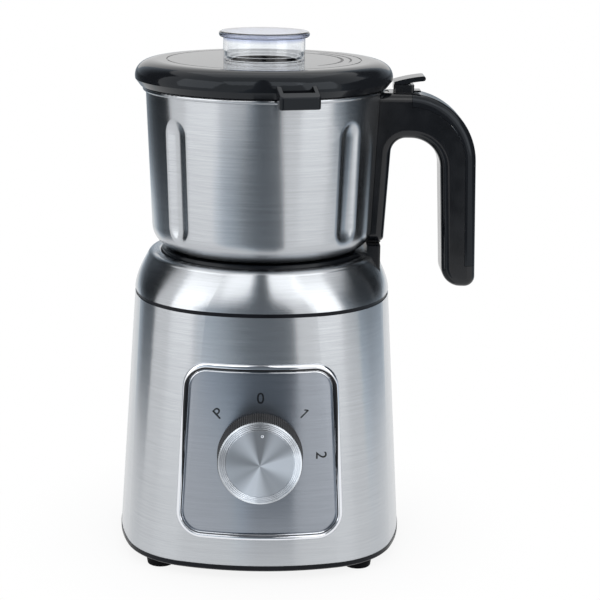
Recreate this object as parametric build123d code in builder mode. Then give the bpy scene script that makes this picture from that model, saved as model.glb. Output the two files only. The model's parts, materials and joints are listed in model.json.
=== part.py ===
from build123d import *
import math
import os

os.makedirs("parts", exist_ok=True)

# A grinding mill on four feet: a motor base, a lift-off steel bowl with a handle, and a lid.
# Z = 0 is the flat underside of the bottom cover, on the axis of the bowl. The control panel
# faces -Y and the handle +X. All sizes are in millimetres.

# General clearances
running_gap = 0.3        # between pieces that move past each other
seat_gap = 0.1           # between curved pieces that lie on each other
shaft_gap = 0.05         # radial, between a shaft and its bore
press_gap = 0.02         # radial, between a pressed piece and its bore
screw_gap = 0.1          # radial, round a screw's thread
split_gap = 0.15         # shadow line between two halves of one moulding

# Feet and bottom cover
foot_height = 5.0
foot_radius = 7.75
foot_place = 52.0        # from the axis, along X and along Y
foot_taper = 0.8
foot_recess = 0.6        # how deep each foot sits in the cover
foot_recess_gap = 0.5
cover_thickness = 3.0
cover_lip_height = 5.0
cover_lip_wall = 2.0
cover_proud = 0.2
cover_boss_radius = 5.0
cover_boss_height = 7.0
vent_width = 3.0
vent_length = 34.0
vent_pitch = 7.0
vent_count = 7

# Base walls: a rounded square at the bottom that turns into a circle at the neck.
# half is the half width, square says how far the corner centres stand off the axis.
steel_wall = 1.2
side_angle = 18.0        # half the angle that each long side arc spans
base_half_bottom = 76.3
base_square_bottom = 27.1
base_half_seam = 68.1
base_square_seam = 11.4
base_wall_height = 130.0
seam_thickness = 2.0
seam_set_back = 0.4
shoulder_height = 17.8
shoulder_curve = 1.5     # power of the shoulder's curve
shoulder_steps = 4
lip_rise = 2.0
lip_width = 7.0          # from the collar's edge to the outside of the neck
lip_crown = 3.0
lip_crown_in = 0.37      # where the crown's arc passes, as shares of its width and rise
lip_crown_up = 0.7
lip_round = 1.2
lip_return = 4.8         # depth of the turned-down inner edge
lip_wall = 1.2

# Top collar, with the interlock block under the handle
collar_radius = 53.7
collar_rise = 1.8        # above the shoulder's lip
collar_wall = 3.2
collar_edge = 0.5
recess_radius = 44.5
recess_depth = 10.6
recess_floor = 3.0
well_radius = 17.0
well_wall = 2.0
flange_reach = 3.6
flange_thickness = 2.5
collar_screw_circle = 32.0
block_half_width = 17.0
block_reach = 62.5
block_rise = 3.4         # above the collar's rim
block_inner = 55.3
block_depth = 16.0
block_edge = 1.0

# Chassis: the deck under the collar, the posts to the bottom cover and to the motor
deck_thickness = 3.0
deck_rim_height = 3.0
deck_rim_wall = 5.4
deck_hole = 15.0
post_radius = 4.5
post_place = 43.0
motor_post_radius = 4.5
motor_post_x = 28.0
motor_post_y = 20.0
boss_depth = 7.0

# Screws
screw_radius = 1.5
screw_head_radius = 3.0
screw_head_height = 1.8
screw_sink = 0.3

# Control panel
panel_bottom = 20.4      # lower edge of the opening in the bezel
panel_top = 104.5
panel_half_bottom = 40.3
panel_half_top = 35.9
panel_corner = 9.5
panel_thickness = 1.0
panel_depth = 0.4        # below the housing's surface
bezel_width = 3.4
bezel_flange = 1.6       # the part of that width that lies on the housing
bezel_proud = 1.6
bezel_sleeve = 3.0
backing_thickness = 2.4
backing_margin = 1.2

# Rotary switch and knob
knob_height = 62.5
knob_gap = 0.8
knob_rear_radius = 21.9
knob_radius = 21.2
knob_length = 19.0
knob_collar = 4.0
knob_edge = 0.4
knob_disc_radius = 17.25
knob_disc_depth = 0.8
knob_step = 0.5
knob_groove_count = 4
knob_cavity_radius = 9.5
knob_cavity_depth = 5.0
spindle_radius = 3.0
spindle_reach = 11.0
bushing_radius = 4.5
bushing_proud = 0.6      # past its nut
switch_half = 15.0
switch_corner = 2.0
terminal_width = 4.0
terminal_thickness = 0.8
terminal_length = 6.0
switch_depth = 18.0
switch_pad_radius = 20.0
switch_pad_depth = 7.2
nut_across = 13.0
nut_height = 2.2

# Motor
stator_half = 38.0
stator_corner = 8.0
stator_bottom = 42.0
stator_height = 42.0
stator_bore = 22.5
rotor_gap = 0.7
rotor_overhang = 1.0
rotor_slots = 12
rotor_slot_width = 2.0
rotor_slot_depth = 1.6
coil_inner = 24.0
coil_outer = 33.0
coil_overhang = 7.6
coil_span = 60.0         # half the angle of each end turn
coil_leg = 15.0          # angle of each leg
winding_outer = 19.0
winding_inner = 8.0
winding_overhang = 8.0
shaft_radius = 4.0
shaft_bottom = 7.0
shaft_edge = 0.4
commutator_radius = 12.0
commutator_bottom = 20.0
commutator_height = 12.0
commutator_bars = 16
bar_gap = 0.8
brush_gap = 0.4
brush_half = 3.0
brush_height = 5.5
brush_length = 14.0
brush_proud = 2.0        # out of its holder
holder_wall = 1.6
holder_slack = 0.2
fan_radius = 31.0
fan_bottom = 95.0
fan_height = 9.0
fan_disc = 1.6
fan_hub = 9.0
fan_blades = 12
fan_blade_width = 1.4
bracket_leg_inner = 33.0
bracket_leg_half = 15.0
bracket_thickness = 3.0
upper_bracket_level = 107.0
upper_bracket_half_y = 26.0
lower_bracket_level = 10.0
bearing_radius = 11.0
bearing_height = 7.0
bearing_cup_wall = 2.5
cup_floor = 1.0
mount_radius = 5.0
mount_height = 4.0

# Coupling between the motor and the blades
driver_level = 130.6
coupling_radius = 12.0
coupling_disc = 4.0
lug_height = 4.0
lug_inner = 7.0
lug_count = 3
lug_angle = 50.0
lug_clearance = 0.4

# Interlock
plunger_x = 59.8
plunger_radius = 1.5
plunger_flange_radius = 2.8
plunger_flange_height = 1.7
interlock_travel = 4.0
microswitch_overhang = 0.6   # past the plunger's axis
microswitch_width = 6.0
microswitch_half = 8.5
microswitch_height = 6.0
button_radius = 1.0
button_rise = 1.5

# Circuit board and cord gland
board_y = 55.0
board_half = 22.0
board_bottom = 4.5
board_height = 32.0
board_thickness = 1.6
board_slot_rib = 2.0
board_part_level = 19.0  # above the board's lower edge
board_part_depth = 6.5
capacitor_radius = 4.4
relay_width = 13.0
relay_height = 10.0
gland_level = 17.0
gland_bore = 3.6
gland_neck = 5.6
gland_flange = 8.0
gland_flange_thickness = 2.0
gland_length = 12.0

# Grinding bowl
bowl_lift_gap = 0.4      # between the bowl's bottom and the collar's rim
bowl_wall = 1.0
bowl_foot_radius = 58.4
bowl_mouth_radius = 62.1
bowl_corner = 12.0
bowl_height = 84.2       # bottom to the centre of the rolled rim
rim_radius = 1.3
flute_angle = 46.5       # each side of front and back
flute_radius = 16.0
flute_depth = 1.8
flute_edge = 6.0         # radius that softens each flute's edge
flute_bottom = 15.4      # above the bowl's bottom
flute_top = 63.6
base_ring_gap = 0.7
base_ring_wall = 3.5
base_ring_plate = 5.0
base_ring_edge = 0.6

# Blades
blade_shaft_radius = 4.0
bush_radius = 8.0
bush_proud = 1.0         # below its nut
bush_flange_radius = 12.0
bush_flange_thickness = 2.0
bearing_nut_across = 22.0
bearing_nut_height = 3.0
seal_radius = 7.0
seal_height = 2.0
sleeve_height = 4.0
sleeve_radius = 6.5
blade_thickness = 2.0
blade_reach = 50.0
blade_upper_reach = 42.0
blade_root_half = 9.0
blade_tip_half = 5.5
blade_hub_radius = 11.0
upper_blade_bend = 18.0
lower_blade_bend = -4.0
spacer_height = 5.0
blade_nut_across = 12.0
blade_nut_height = 6.0

# Lid
lid_gap = 0.4            # above the bowl's rolled rim
lid_height = 13.2
lid_radius = 67.6
lid_flat_radius = 56.5
lid_foot_radius = 65.0
lid_wide_level = 3.4     # above the lid's lower edge
lid_wall = 2.5
lid_seam_radius = 51.0
lid_seam_width = 0.7
lid_seam_depth = 0.5
hole_radius = 19.8
plug_radius = 60.3
plug_depth = 6.0
plug_wall = 2.4
seal_groove_depth = 1.8
seal_section = 3.0
seal_below_rim = 1.2
chimney_wall = 2.2
loop_angle = -76.0       # from +X, so 14 degrees to the right of the front
loop_half_width = 10.5
loop_arm = 2.4
loop_bar = 3.5
loop_out = 7.9           # past the widest part of the lid
loop_bar_height = 6.1
loop_bar_drop = 4.1      # the bar's lower edge, below the lid's lower edge
loop_round = 2.0
loop_edge = 0.8
loop_arm_level = 7.0     # where the arms meet the skirt, above the lid's lower edge

# Feeder cap
cap_flange_radius = 23.8
cap_flange_thickness = 3.0
cap_flange_round = 1.3
cap_tube_radius = 21.5
cap_height = 14.4
cap_wall = 1.8
cap_plug_gap = 0.5
cap_plug_depth = 12.0

# Handle, measured from the bowl's wall and down from its own top
handle_half_width = 13.0
handle_drop = 1.2        # its top, below the centre of the rolled rim
arch_flat = 13.3
arch_radius = 36.7
arch_depth = 23.5        # down to the arch's underside
arch_corner = 16.0
finger_space = 25.2      # between bracket and grip, under the arch
grip_length = 102.9      # down to the grip's lower end
grip_outer_lean = 1.5
grip_inner_lean = 2.5
grip_outer_round = 5.5
grip_inner_round = 10.5
handle_edge = 4.5
bracket_wall_top = 6.4
bracket_wall_bottom = 5.7
bracket_foot = 4.3       # above the bowl's bottom
bracket_corner = 8.0
bracket_round = 2.5
nose_half_width = 8.0
nose_skin = 1.3
nose_gap = 0.4           # over the interlock block
handle_cover_top = 6.7
handle_cover_side = 5.8
handle_cover_start = 15.4
handle_cover_end = 11.7  # above the grip's lower end
lug_plate_inner = 6.0
lug_plate_outer = 11.0
lug_plate_reach = 3.6
lug_plate_height = 14.0
handle_screw_drop = 13.0
handle_screw_seat = 24.6
handle_screw_head = 2.6

# Interlock rod, in its channel between the handle's bracket and the bowl
rod_thickness = 2.6
rod_half_width = 3.6
rod_wall_gap = 0.7
rod_slack = 0.4
rod_tip_length = 6.0

# Latch, measured from the widest part of the lid
latch_gap = 1.0
tower_length = 10.1
tower_half = 7.0
tower_slot = 4.7
tower_height = 4.0
tower_wall = 1.5
tongue_length = 3.6
tongue_thickness = 0.9
latch_pin_set = 5.2
latch_pin_rise = 2.6
latch_pin_radius = 1.1
latch_half = 7.5
latch_belly_half = 4.2
latch_belly_radius = 2.0
paddle_length = 15.2
paddle_rise_inner = 5.6
paddle_rise_outer = 8.7
paddle_crown = 0.4
paddle_thickness = 2.6
claw_gap = 0.4
claw_thickness = 2.0
claw_drop = 4.0

# Levels that follow from the sizes above
seam_level = cover_thickness + base_wall_height
shoulder_level = seam_level + seam_thickness
neck_level = shoulder_level + shoulder_height
lip_top = neck_level + lip_rise
lip_radius = collar_radius + running_gap
neck_half = lip_radius + lip_width
shoulder_drop = base_half_seam - neck_half
collar_top = lip_top + collar_rise
recess_level = collar_top - recess_depth
deck_top = seam_level - deck_rim_height
deck_level = deck_top - deck_thickness
block_top = collar_top + block_rise
block_bottom = block_top - block_depth
plunger_top = block_top + interlock_travel + running_gap
bowl_bottom = collar_top + bowl_lift_gap
rim_level = bowl_bottom + bowl_height
bowl_floor = bowl_bottom + bowl_wall
lid_bottom = rim_level + rim_radius + lid_gap
lid_top = lid_bottom + lid_height
cap_bottom = lid_top + running_gap
cap_top = cap_bottom + cap_height
stator_top = stator_bottom + stator_height
wall_slope = (base_half_seam - base_half_bottom) / base_wall_height
wall_lean = math.degrees(math.atan(-wall_slope))
bowl_slope = (bowl_mouth_radius - bowl_foot_radius) / bowl_height


def bowl_radius(level):
    """Outer radius of the bowl's straight wall at this level."""
    return bowl_foot_radius + bowl_slope * (level - bowl_bottom)


def wall_half(level):
    """Half width of the base's straight wall at this level."""
    return base_half_bottom + wall_slope * (level - cover_thickness)


def outline(half, square):
    """Eight tangent arcs in the current line: four long sides and four corners."""
    lean = math.radians(side_angle)
    side_radius = half - square + square / math.tan(lean)
    corner_radius = half - square - square * math.tan(lean / 2)
    for quarter in range(4):
        turn = 90 * quarter
        side_centre = Vector(half - side_radius, 0).rotate(Axis.Z, turn)
        corner_centre = Vector(square, square).rotate(Axis.Z, turn)
        CenterArc(side_centre, side_radius, turn - side_angle, 2 * side_angle)
        CenterArc(corner_centre, corner_radius, turn + side_angle, 90 - 2 * side_angle)


def plan(level, half, square, wall=0.0):
    """A face at this level with the base's outline, or a ring of this wall."""
    with BuildSketch(Plane.XY.offset(level), mode=Mode.PRIVATE) as shape:
        with BuildLine():
            outline(half, square)
        make_face()
        if wall:
            with BuildLine():
                outline(half - wall, square)
            make_face(mode=Mode.SUBTRACT)
    return shape.sketch


def wall_form(inset):
    """The straight-sided base as a solid, with its walls moved inward by inset."""
    with BuildPart(mode=Mode.PRIVATE) as form:
        lower = plan(cover_thickness, base_half_bottom - inset, base_square_bottom)
        upper = plan(seam_level, base_half_seam - inset, base_square_seam)
        loft([lower, upper], ruled=True)
    return form.part


def shoulder_form(inset):
    """The curved shoulder as a solid, with its walls moved inward by inset."""
    rings = []
    for step in range(shoulder_steps + 1):
        rise = step / shoulder_steps
        half = base_half_seam - shoulder_drop * rise**shoulder_curve
        level = shoulder_level + shoulder_height * rise
        rings.append(plan(level, half - inset, base_square_seam * (1 - rise)))
    with BuildPart(mode=Mode.PRIVATE) as form:
        loft(rings)
    return form.part


def panel_prism(margin):
    """A bar along -Y whose outline is the panel opening, grown by margin."""
    left_low = (-panel_half_bottom - margin, panel_bottom - margin)
    right_low = (panel_half_bottom + margin, panel_bottom - margin)
    right_high = (panel_half_top + margin, panel_top + margin)
    left_high = (-panel_half_top - margin, panel_top + margin)
    with BuildPart(mode=Mode.PRIVATE) as prism:
        with BuildSketch(Plane.XZ.offset(base_half_seam / 2)) as face:
            Polygon(left_low, right_low, right_high, left_high, align=None)
            fillet(face.vertices(), panel_corner + margin)
        extrude(amount=base_half_bottom)
    return prism.part


def panel_layer(outer_inset, inner_inset, margin):
    """A slice of the front wall between two insets, cut to the panel outline grown by margin."""
    with BuildPart(mode=Mode.PRIVATE) as layer:
        add(wall_form(outer_inset))
        add(wall_form(inner_inset), mode=Mode.SUBTRACT)
        add(panel_prism(margin), mode=Mode.INTERSECT)
    return layer.part


def quarters(place_x, place_y):
    """The four points that mirror one point in X and in Y."""
    return [(x, y) for x in (place_x, -place_x) for y in (place_y, -place_y)]


def levels(points, level):
    """The same points, lifted to one level."""
    return [(x, y, level) for x, y in points]


def ring_points(circle, count, start=0.0):
    """Points evenly spaced on a circle round the axis."""
    turns = [math.radians(start + 360 * step / count) for step in range(count)]
    return [(circle * math.cos(turn), circle * math.sin(turn)) for turn in turns]


def post(radius, height, mode=Mode.ADD):
    """A round post or hole that stands on the current locations."""
    Cylinder(radius, height, align=(Align.CENTER, Align.CENTER, Align.MIN), mode=mode)


def ring_sector(inner, outer, level, height, middle, half_angle, mode=Mode.ADD):
    """A block between two radii and two angles, round the axis."""
    start = middle - half_angle
    with BuildSketch(Plane.XY.offset(level)) as sector:
        with BuildLine():
            near = CenterArc((0, 0), inner, start, 2 * half_angle)
            far = CenterArc((0, 0), outer, start, 2 * half_angle)
            Line(near @ 0, far @ 0)
            Line(near @ 1, far @ 1)
        make_face()
    extrude(sector.sketch, amount=height, mode=mode)


foot_points = quarters(foot_place, foot_place)
post_points = quarters(post_place, post_place)
motor_post_points = quarters(motor_post_x, motor_post_y)
collar_screw_points = ring_points(collar_screw_circle, 4, 45)

# Bottom cover with its lip, vents, foot bosses and the slot for the circuit board
lip_inset = steel_wall + running_gap - wall_slope * cover_lip_height
cover_top = cover_thickness + cover_lip_height
foot_boss_top = cover_thickness + cover_boss_height
head_sink = screw_sink + screw_head_height
with BuildPart() as bottom_cover:
    extrude(plan(0, base_half_bottom + cover_proud, base_square_bottom), amount=cover_thickness)
    chamfer(bottom_cover.faces().sort_by(Axis.Z)[0].edges(), cover_thickness / 4)
    lip_half = base_half_bottom - lip_inset
    lip_ring = plan(cover_thickness, lip_half, base_square_bottom, cover_lip_wall)
    extrude(lip_ring, amount=cover_lip_height)
    with Locations(levels(foot_points, cover_thickness)):
        post(cover_boss_radius, cover_boss_height)
    with Locations((0, board_y, cover_top / 2)):
        rib_depth = board_thickness + 2 * (running_gap + board_slot_rib)
        Box(2 * board_half, rib_depth, cover_top)
    with Locations((0, board_y, board_bottom + cover_top / 2)):
        Box(2 * board_half + 1, board_thickness + 2 * running_gap, cover_top, mode=Mode.SUBTRACT)
    with Locations(levels(foot_points, 0)):
        post(foot_radius + foot_recess_gap, foot_recess, mode=Mode.SUBTRACT)
        post(screw_radius + screw_gap, foot_boss_top - 1, mode=Mode.SUBTRACT)
    with Locations(levels(post_points, 0)):
        post(screw_radius + screw_gap, cover_thickness, mode=Mode.SUBTRACT)
        post(screw_head_radius + screw_gap, head_sink, mode=Mode.SUBTRACT)
    with BuildSketch(Plane.XY):
        with GridLocations(0, vent_pitch, 1, vent_count):
            SlotOverall(vent_length, vent_width)
    extrude(amount=cover_thickness, mode=Mode.SUBTRACT)
bottom_cover.part.label = "bottom_cover"
export_step(bottom_cover.part, "parts/bottom_cover.step")

# Four rubber feet in shallow recesses of the cover, each held by a screw that sits up inside it
foot_screw_seat = foot_height / 2
with BuildPart() as feet:
    with Locations(levels(foot_points, -foot_height)):
        Cone(foot_radius - foot_taper, foot_radius, foot_height,
             align=(Align.CENTER, Align.CENTER, Align.MIN))
    fillet(feet.faces().group_by(Axis.Z)[0].edges(), foot_taper)
    with Locations(levels(foot_points, 0)):
        post(foot_radius, foot_recess)
    with Locations(levels(foot_points, -foot_height)):
        post(screw_radius + screw_gap, foot_height + foot_recess, mode=Mode.SUBTRACT)
        post(screw_head_radius + running_gap, foot_screw_seat, mode=Mode.SUBTRACT)
feet.part.label = "feet"
export_step(feet.part, "parts/feet.step")


def screw(head_level, length, upward=True):
    """A pan-head screw on the current locations, its head's seat at this level."""
    side = 1 if upward else -1
    head_align = Align.MAX if upward else Align.MIN
    shank_align = Align.MIN if upward else Align.MAX
    with Locations((0, 0, head_level)):
        Cylinder(screw_head_radius, screw_head_height, align=(Align.CENTER, Align.CENTER, head_align))
        Cylinder(screw_radius, length, align=(Align.CENTER, Align.CENTER, shank_align))
    with Locations((0, 0, head_level - side * screw_head_height)):
        Box(screw_head_radius, screw_radius / 2, screw_head_height, mode=Mode.SUBTRACT)


with BuildPart() as foot_screws:
    with Locations(levels(foot_points, 0)):
        screw(-foot_screw_seat, foot_screw_seat + foot_boss_top - 2)
foot_screws.part.label = "foot_screws"
export_step(foot_screws.part, "parts/foot_screws.step")

post_screw_length = 14.0
with BuildPart() as cover_screws:
    with Locations(levels(post_points, 0)):
        screw(head_sink, post_screw_length)
cover_screws.part.label = "cover_screws"
export_step(cover_screws.part, "parts/cover_screws.step")

# Base housing: a drawn steel sleeve with the panel opening and the hole for the cord gland
housing_outer = wall_form(0)
opening_margin = bezel_width - bezel_flange
gland_y = wall_half(gland_level)
lean = math.radians(wall_lean)
gland_plane = Plane(origin=(0, gland_y, gland_level), x_dir=(1, 0, 0),
                    z_dir=(0, math.cos(lean), math.sin(lean)))
with BuildPart() as base_housing:
    add(housing_outer)
    add(wall_form(steel_wall), mode=Mode.SUBTRACT)
    add(panel_prism(opening_margin), mode=Mode.SUBTRACT)
    with BuildSketch(gland_plane):
        Circle(gland_neck + seat_gap)
    extrude(amount=gland_length, both=True, mode=Mode.SUBTRACT)
base_housing.part.label = "base_housing"
export_step(base_housing.part, "parts/base_housing.step")

# Cord gland in the back of the housing; the photograph shows no cord
with BuildPart() as cord_gland:
    with BuildSketch(gland_plane.offset(running_gap)):
        Circle(gland_flange)
    extrude(amount=gland_flange_thickness)
    chamfer(cord_gland.faces().sort_by(Axis.Y)[-1].edges(), gland_flange_thickness / 3)
    with BuildSketch(gland_plane.offset(running_gap)):
        Circle(gland_neck)
    extrude(amount=-gland_length)
    with BuildSketch(gland_plane.offset(-gland_length)):
        Circle(gland_bore)
    extrude(amount=2 * gland_length, mode=Mode.SUBTRACT)
cord_gland.part.label = "cord_gland"
export_step(cord_gland.part, "parts/cord_gland.step")

# Chassis: the deck with its rim, four posts to the bottom cover, four to the motor
deck_half = wall_half(deck_level) - steel_wall - 2 * running_gap
deck_square = base_square_seam
bracket_top = upper_bracket_level + bracket_thickness
mount_top = bracket_top + mount_height
with BuildPart() as chassis:
    extrude(plan(deck_level, deck_half, deck_square), amount=deck_thickness)
    extrude(plan(deck_top, deck_half, deck_square, deck_rim_wall), amount=deck_rim_height)
    with Locations(levels(post_points, cover_thickness)):
        post(post_radius, deck_level - cover_thickness)
    with Locations(levels(motor_post_points, mount_top)):
        post(motor_post_radius, deck_level - mount_top)
    with Locations(levels(collar_screw_points, deck_level - boss_depth)):
        post(post_radius, boss_depth)
        post(screw_radius + screw_gap, boss_depth + deck_thickness, mode=Mode.SUBTRACT)
    with Locations(levels(post_points, cover_thickness)):
        post(screw_radius + screw_gap, post_screw_length + 1, mode=Mode.SUBTRACT)
    with Locations(levels(motor_post_points, mount_top)):
        post(screw_radius + screw_gap, deck_level - mount_top - 1, mode=Mode.SUBTRACT)
    with Locations((0, 0, deck_level)):
        post(deck_hole, deck_thickness, mode=Mode.SUBTRACT)
chassis.part.label = "chassis"
export_step(chassis.part, "parts/chassis.step")

# Seam ring between the housing and the shoulder
with BuildPart() as seam_ring:
    ring_wall = deck_rim_wall - seam_set_back + base_half_seam - deck_half
    extrude(plan(seam_level, base_half_seam - seam_set_back, base_square_seam, ring_wall),
            amount=seam_thickness)
seam_ring.part.label = "seam_ring"
export_step(seam_ring.part, "parts/seam_ring.step")

# Shoulder shell: square at the seam, round at the neck, with a rolled lip and a notch
notch_half = block_half_width + running_gap
notch_reach = block_reach + running_gap
with BuildPart() as shoulder_shell:
    add(shoulder_form(0))
    add(shoulder_form(steel_wall), mode=Mode.SUBTRACT)
    with BuildSketch(Plane.XZ):
        with BuildLine():
            crown_start = (neck_half, neck_level)
            crown_middle = (neck_half - lip_crown * lip_crown_in, neck_level + lip_rise * lip_crown_up)
            crown_end = (neck_half - lip_crown, lip_top)
            ThreePointArc(crown_start, crown_middle, crown_end)
            flat_end = (lip_radius + lip_round, lip_top)
            Line(crown_end, flat_end)
            bend_end = (lip_radius, lip_top - lip_round)
            RadiusArc(flat_end, bend_end, -lip_round)
            inner_foot = (lip_radius, lip_top - lip_return)
            outer_foot = (lip_radius + lip_wall, lip_top - lip_return)
            under_bend = (lip_radius + lip_wall, neck_level + seat_gap)
            under_neck = (neck_half - steel_wall, neck_level)
            Polyline(bend_end, inner_foot, outer_foot, under_bend, under_neck, crown_start)
        make_face()
    revolve(axis=Axis.Z)
    with Locations((notch_reach / 2, 0, lip_top)):
        Box(notch_reach, 2 * notch_half, 2 * (lip_top - block_bottom - 1), mode=Mode.SUBTRACT)
shoulder_shell.part.label = "shoulder_shell"
export_step(shoulder_shell.part, "parts/shoulder_shell.step")

# Top collar: rim, recess for the bowl's foot ring, coupling well and interlock block
flange_top = lip_top - lip_return
with BuildPart() as top_collar:
    with Locations((0, 0, deck_top)):
        post(collar_radius, collar_top - deck_top)
    with Locations((0, 0, flange_top - flange_thickness)):
        post(collar_radius + flange_reach, flange_thickness)
    chamfer(top_collar.faces().sort_by(Axis.Z)[-1].edges(), collar_edge)
    block_middle = (block_inner + block_reach) / 2
    with Locations((block_middle, 0, (block_top + block_bottom) / 2)):
        Box(block_reach - block_inner, 2 * block_half_width, block_depth)
    outer_edges = top_collar.edges().filter_by(Axis.Z).group_by(Axis.X)[-1]
    fillet(outer_edges, block_edge)
    root_middle = (collar_radius + block_inner - collar_wall) / 2
    with Locations((root_middle, 0, (collar_top + block_bottom) / 2)):
        Box(block_inner - collar_radius + collar_wall, 2 * block_half_width, collar_top - block_bottom)
    with Locations((0, 0, recess_level)):
        post(recess_radius, recess_depth, mode=Mode.SUBTRACT)
    with Locations((0, 0, deck_top)):
        post(collar_radius - collar_wall, recess_level - recess_floor - deck_top, mode=Mode.SUBTRACT)
        post(well_radius + well_wall, recess_level - deck_top)
        post(well_radius, recess_level - deck_top, mode=Mode.SUBTRACT)
    with Locations(levels(collar_screw_points, deck_top)):
        post(post_radius, recess_level - deck_top)
        post(screw_radius + screw_gap, recess_level - deck_top, mode=Mode.SUBTRACT)
    with Locations(levels(collar_screw_points, recess_level - head_sink)):
        post(screw_head_radius + screw_gap, head_sink, mode=Mode.SUBTRACT)
    with Locations((plunger_x, 0, block_bottom)):
        post(plunger_radius + running_gap, block_depth, mode=Mode.SUBTRACT)
top_collar.part.label = "top_collar"
export_step(top_collar.part, "parts/top_collar.step")

with BuildPart() as collar_screws:
    with Locations(levels(collar_screw_points, 0)):
        screw(recess_level - head_sink, recess_level - head_sink - deck_level + boss_depth - 1, upward=False)
collar_screws.part.label = "collar_screws"
export_step(collar_screws.part, "parts/collar_screws.step")

# Control panel, its bezel and the moulded backing that carries them
knob_y = wall_half(knob_height) - panel_depth
outward = Vector(0, -math.cos(lean), math.sin(lean))
knob_centre = Vector(0, -knob_y, knob_height)
knob_plane = Plane(origin=knob_centre, x_dir=(1, 0, 0), z_dir=outward)
knob_side = Plane(origin=knob_centre, x_dir=(1, 0, 0), z_dir=(0, -outward.Z, outward.Y))
knob_axis = Axis(knob_centre, outward)
backing_front = panel_depth + panel_thickness + seat_gap
backing_back = bezel_sleeve + backing_thickness + seat_gap

with BuildPart() as control_panel:
    add(panel_layer(panel_depth, panel_depth + panel_thickness, -seat_gap))
    with BuildSketch(knob_plane):
        Circle(bushing_radius + seat_gap)
    extrude(amount=switch_pad_depth, both=True, mode=Mode.SUBTRACT)
control_panel.part.label = "control_panel"
export_step(control_panel.part, "parts/control_panel.step")

with BuildPart() as panel_bezel:
    add(panel_layer(-bezel_proud, -seat_gap, bezel_width))
    add(panel_layer(-bezel_proud, bezel_sleeve, opening_margin - seat_gap))
    add(panel_prism(0), mode=Mode.SUBTRACT)
panel_bezel.part.label = "panel_bezel"
export_step(panel_bezel.part, "parts/panel_bezel.step")

with BuildPart() as panel_backing:
    add(panel_layer(backing_front, backing_back, -running_gap))
    add(panel_layer(bezel_sleeve + seat_gap, backing_back, bezel_width + backing_margin))
    with BuildSketch(knob_plane.offset(-switch_pad_depth)):
        Circle(switch_pad_radius)
    extrude(amount=switch_pad_depth - backing_back + backing_thickness)
    with BuildSketch(knob_plane):
        Circle(bushing_radius + seat_gap)
    extrude(amount=switch_pad_depth, both=True, mode=Mode.SUBTRACT)
panel_backing.part.label = "panel_backing"
export_step(panel_backing.part, "parts/panel_backing.step")

# Rotary switch behind the panel, its nut in front, and the spindle that the knob turns
nut_plane = knob_plane.offset(seat_gap)
bushing_length = nut_height + seat_gap + bushing_proud
with BuildPart() as switch_body:
    with BuildSketch(knob_plane.offset(-switch_pad_depth)):
        RectangleRounded(2 * switch_half, 2 * switch_half, switch_corner)
    extrude(amount=-switch_depth)
    with BuildSketch(knob_plane.offset(-switch_pad_depth)):
        Circle(bushing_radius)
    extrude(amount=switch_pad_depth + bushing_length)
    with BuildSketch(knob_plane.offset(-switch_pad_depth - switch_depth / 2)):
        Circle(spindle_radius + shaft_gap)
    extrude(amount=switch_pad_depth + switch_depth, mode=Mode.SUBTRACT)
    with BuildSketch(knob_plane.offset(-switch_pad_depth - switch_depth)):
        with GridLocations(switch_half / 2, switch_half, 4, 2):
            Rectangle(terminal_width, terminal_thickness)
    extrude(amount=-terminal_length)
switch_body.part.label = "switch_body"
export_step(switch_body.part, "parts/switch_body.step")

with BuildPart() as switch_nut:
    with BuildSketch(nut_plane):
        RegularPolygon(nut_across / 2, 6, major_radius=False)
        Circle(bushing_radius + press_gap, mode=Mode.SUBTRACT)
    extrude(amount=nut_height)
switch_nut.part.label = "switch_nut"
export_step(switch_nut.part, "parts/switch_nut.step")

with BuildPart() as switch_spindle:
    with BuildSketch(knob_plane.offset(-switch_pad_depth - switch_depth / 2 + running_gap)):
        Circle(spindle_radius)
    extrude(amount=switch_pad_depth + switch_depth / 2 - running_gap + spindle_reach)
switch_spindle.part.label = "switch_spindle"
export_step(switch_spindle.part, "parts/switch_spindle.step")

# Knob body with fine grooves in its front ring, and the spun metal disc in its face
with BuildPart() as knob_body:
    with BuildSketch(knob_side):
        with BuildLine():
            Polyline((0, knob_gap), (knob_rear_radius, knob_gap), (knob_rear_radius, knob_gap + knob_collar),
                     (knob_radius + knob_step, knob_gap + knob_collar + knob_step),
                     (knob_radius, knob_length - knob_edge), (knob_radius - knob_edge, knob_length),
                     (knob_disc_radius + seat_gap, knob_length),
                     (knob_disc_radius + seat_gap, knob_length - knob_disc_depth),
                     (0, knob_length - knob_disc_depth), (0, knob_gap))
        make_face()
        ring_start = knob_disc_radius + seat_gap
        groove_pitch = (knob_radius - knob_edge - ring_start) / knob_groove_count
        for groove in range(knob_groove_count):
            with Locations((ring_start + (groove + 1 / 2) * groove_pitch, knob_length)):
                RegularPolygon(groove_pitch / 3, 4, mode=Mode.SUBTRACT)
    revolve(axis=knob_axis)
    with BuildSketch(knob_plane.offset(knob_gap)):
        Circle(knob_cavity_radius)
    extrude(amount=knob_cavity_depth, mode=Mode.SUBTRACT)
    with BuildSketch(knob_plane.offset(knob_gap)):
        Circle(spindle_radius + press_gap)
    extrude(amount=spindle_reach - knob_gap + running_gap, mode=Mode.SUBTRACT)
knob_body.part.label = "knob_body"
export_step(knob_body.part, "parts/knob_body.step")

with BuildPart() as knob_face:
    with BuildSketch(knob_plane.offset(knob_length - knob_disc_depth)):
        Circle(knob_disc_radius)
    extrude(amount=knob_disc_depth)
    chamfer(knob_face.edges().group_by(Axis.Y)[0], knob_disc_depth / 4)
knob_face.part.label = "knob_face"
export_step(knob_face.part, "parts/knob_face.step")

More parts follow.
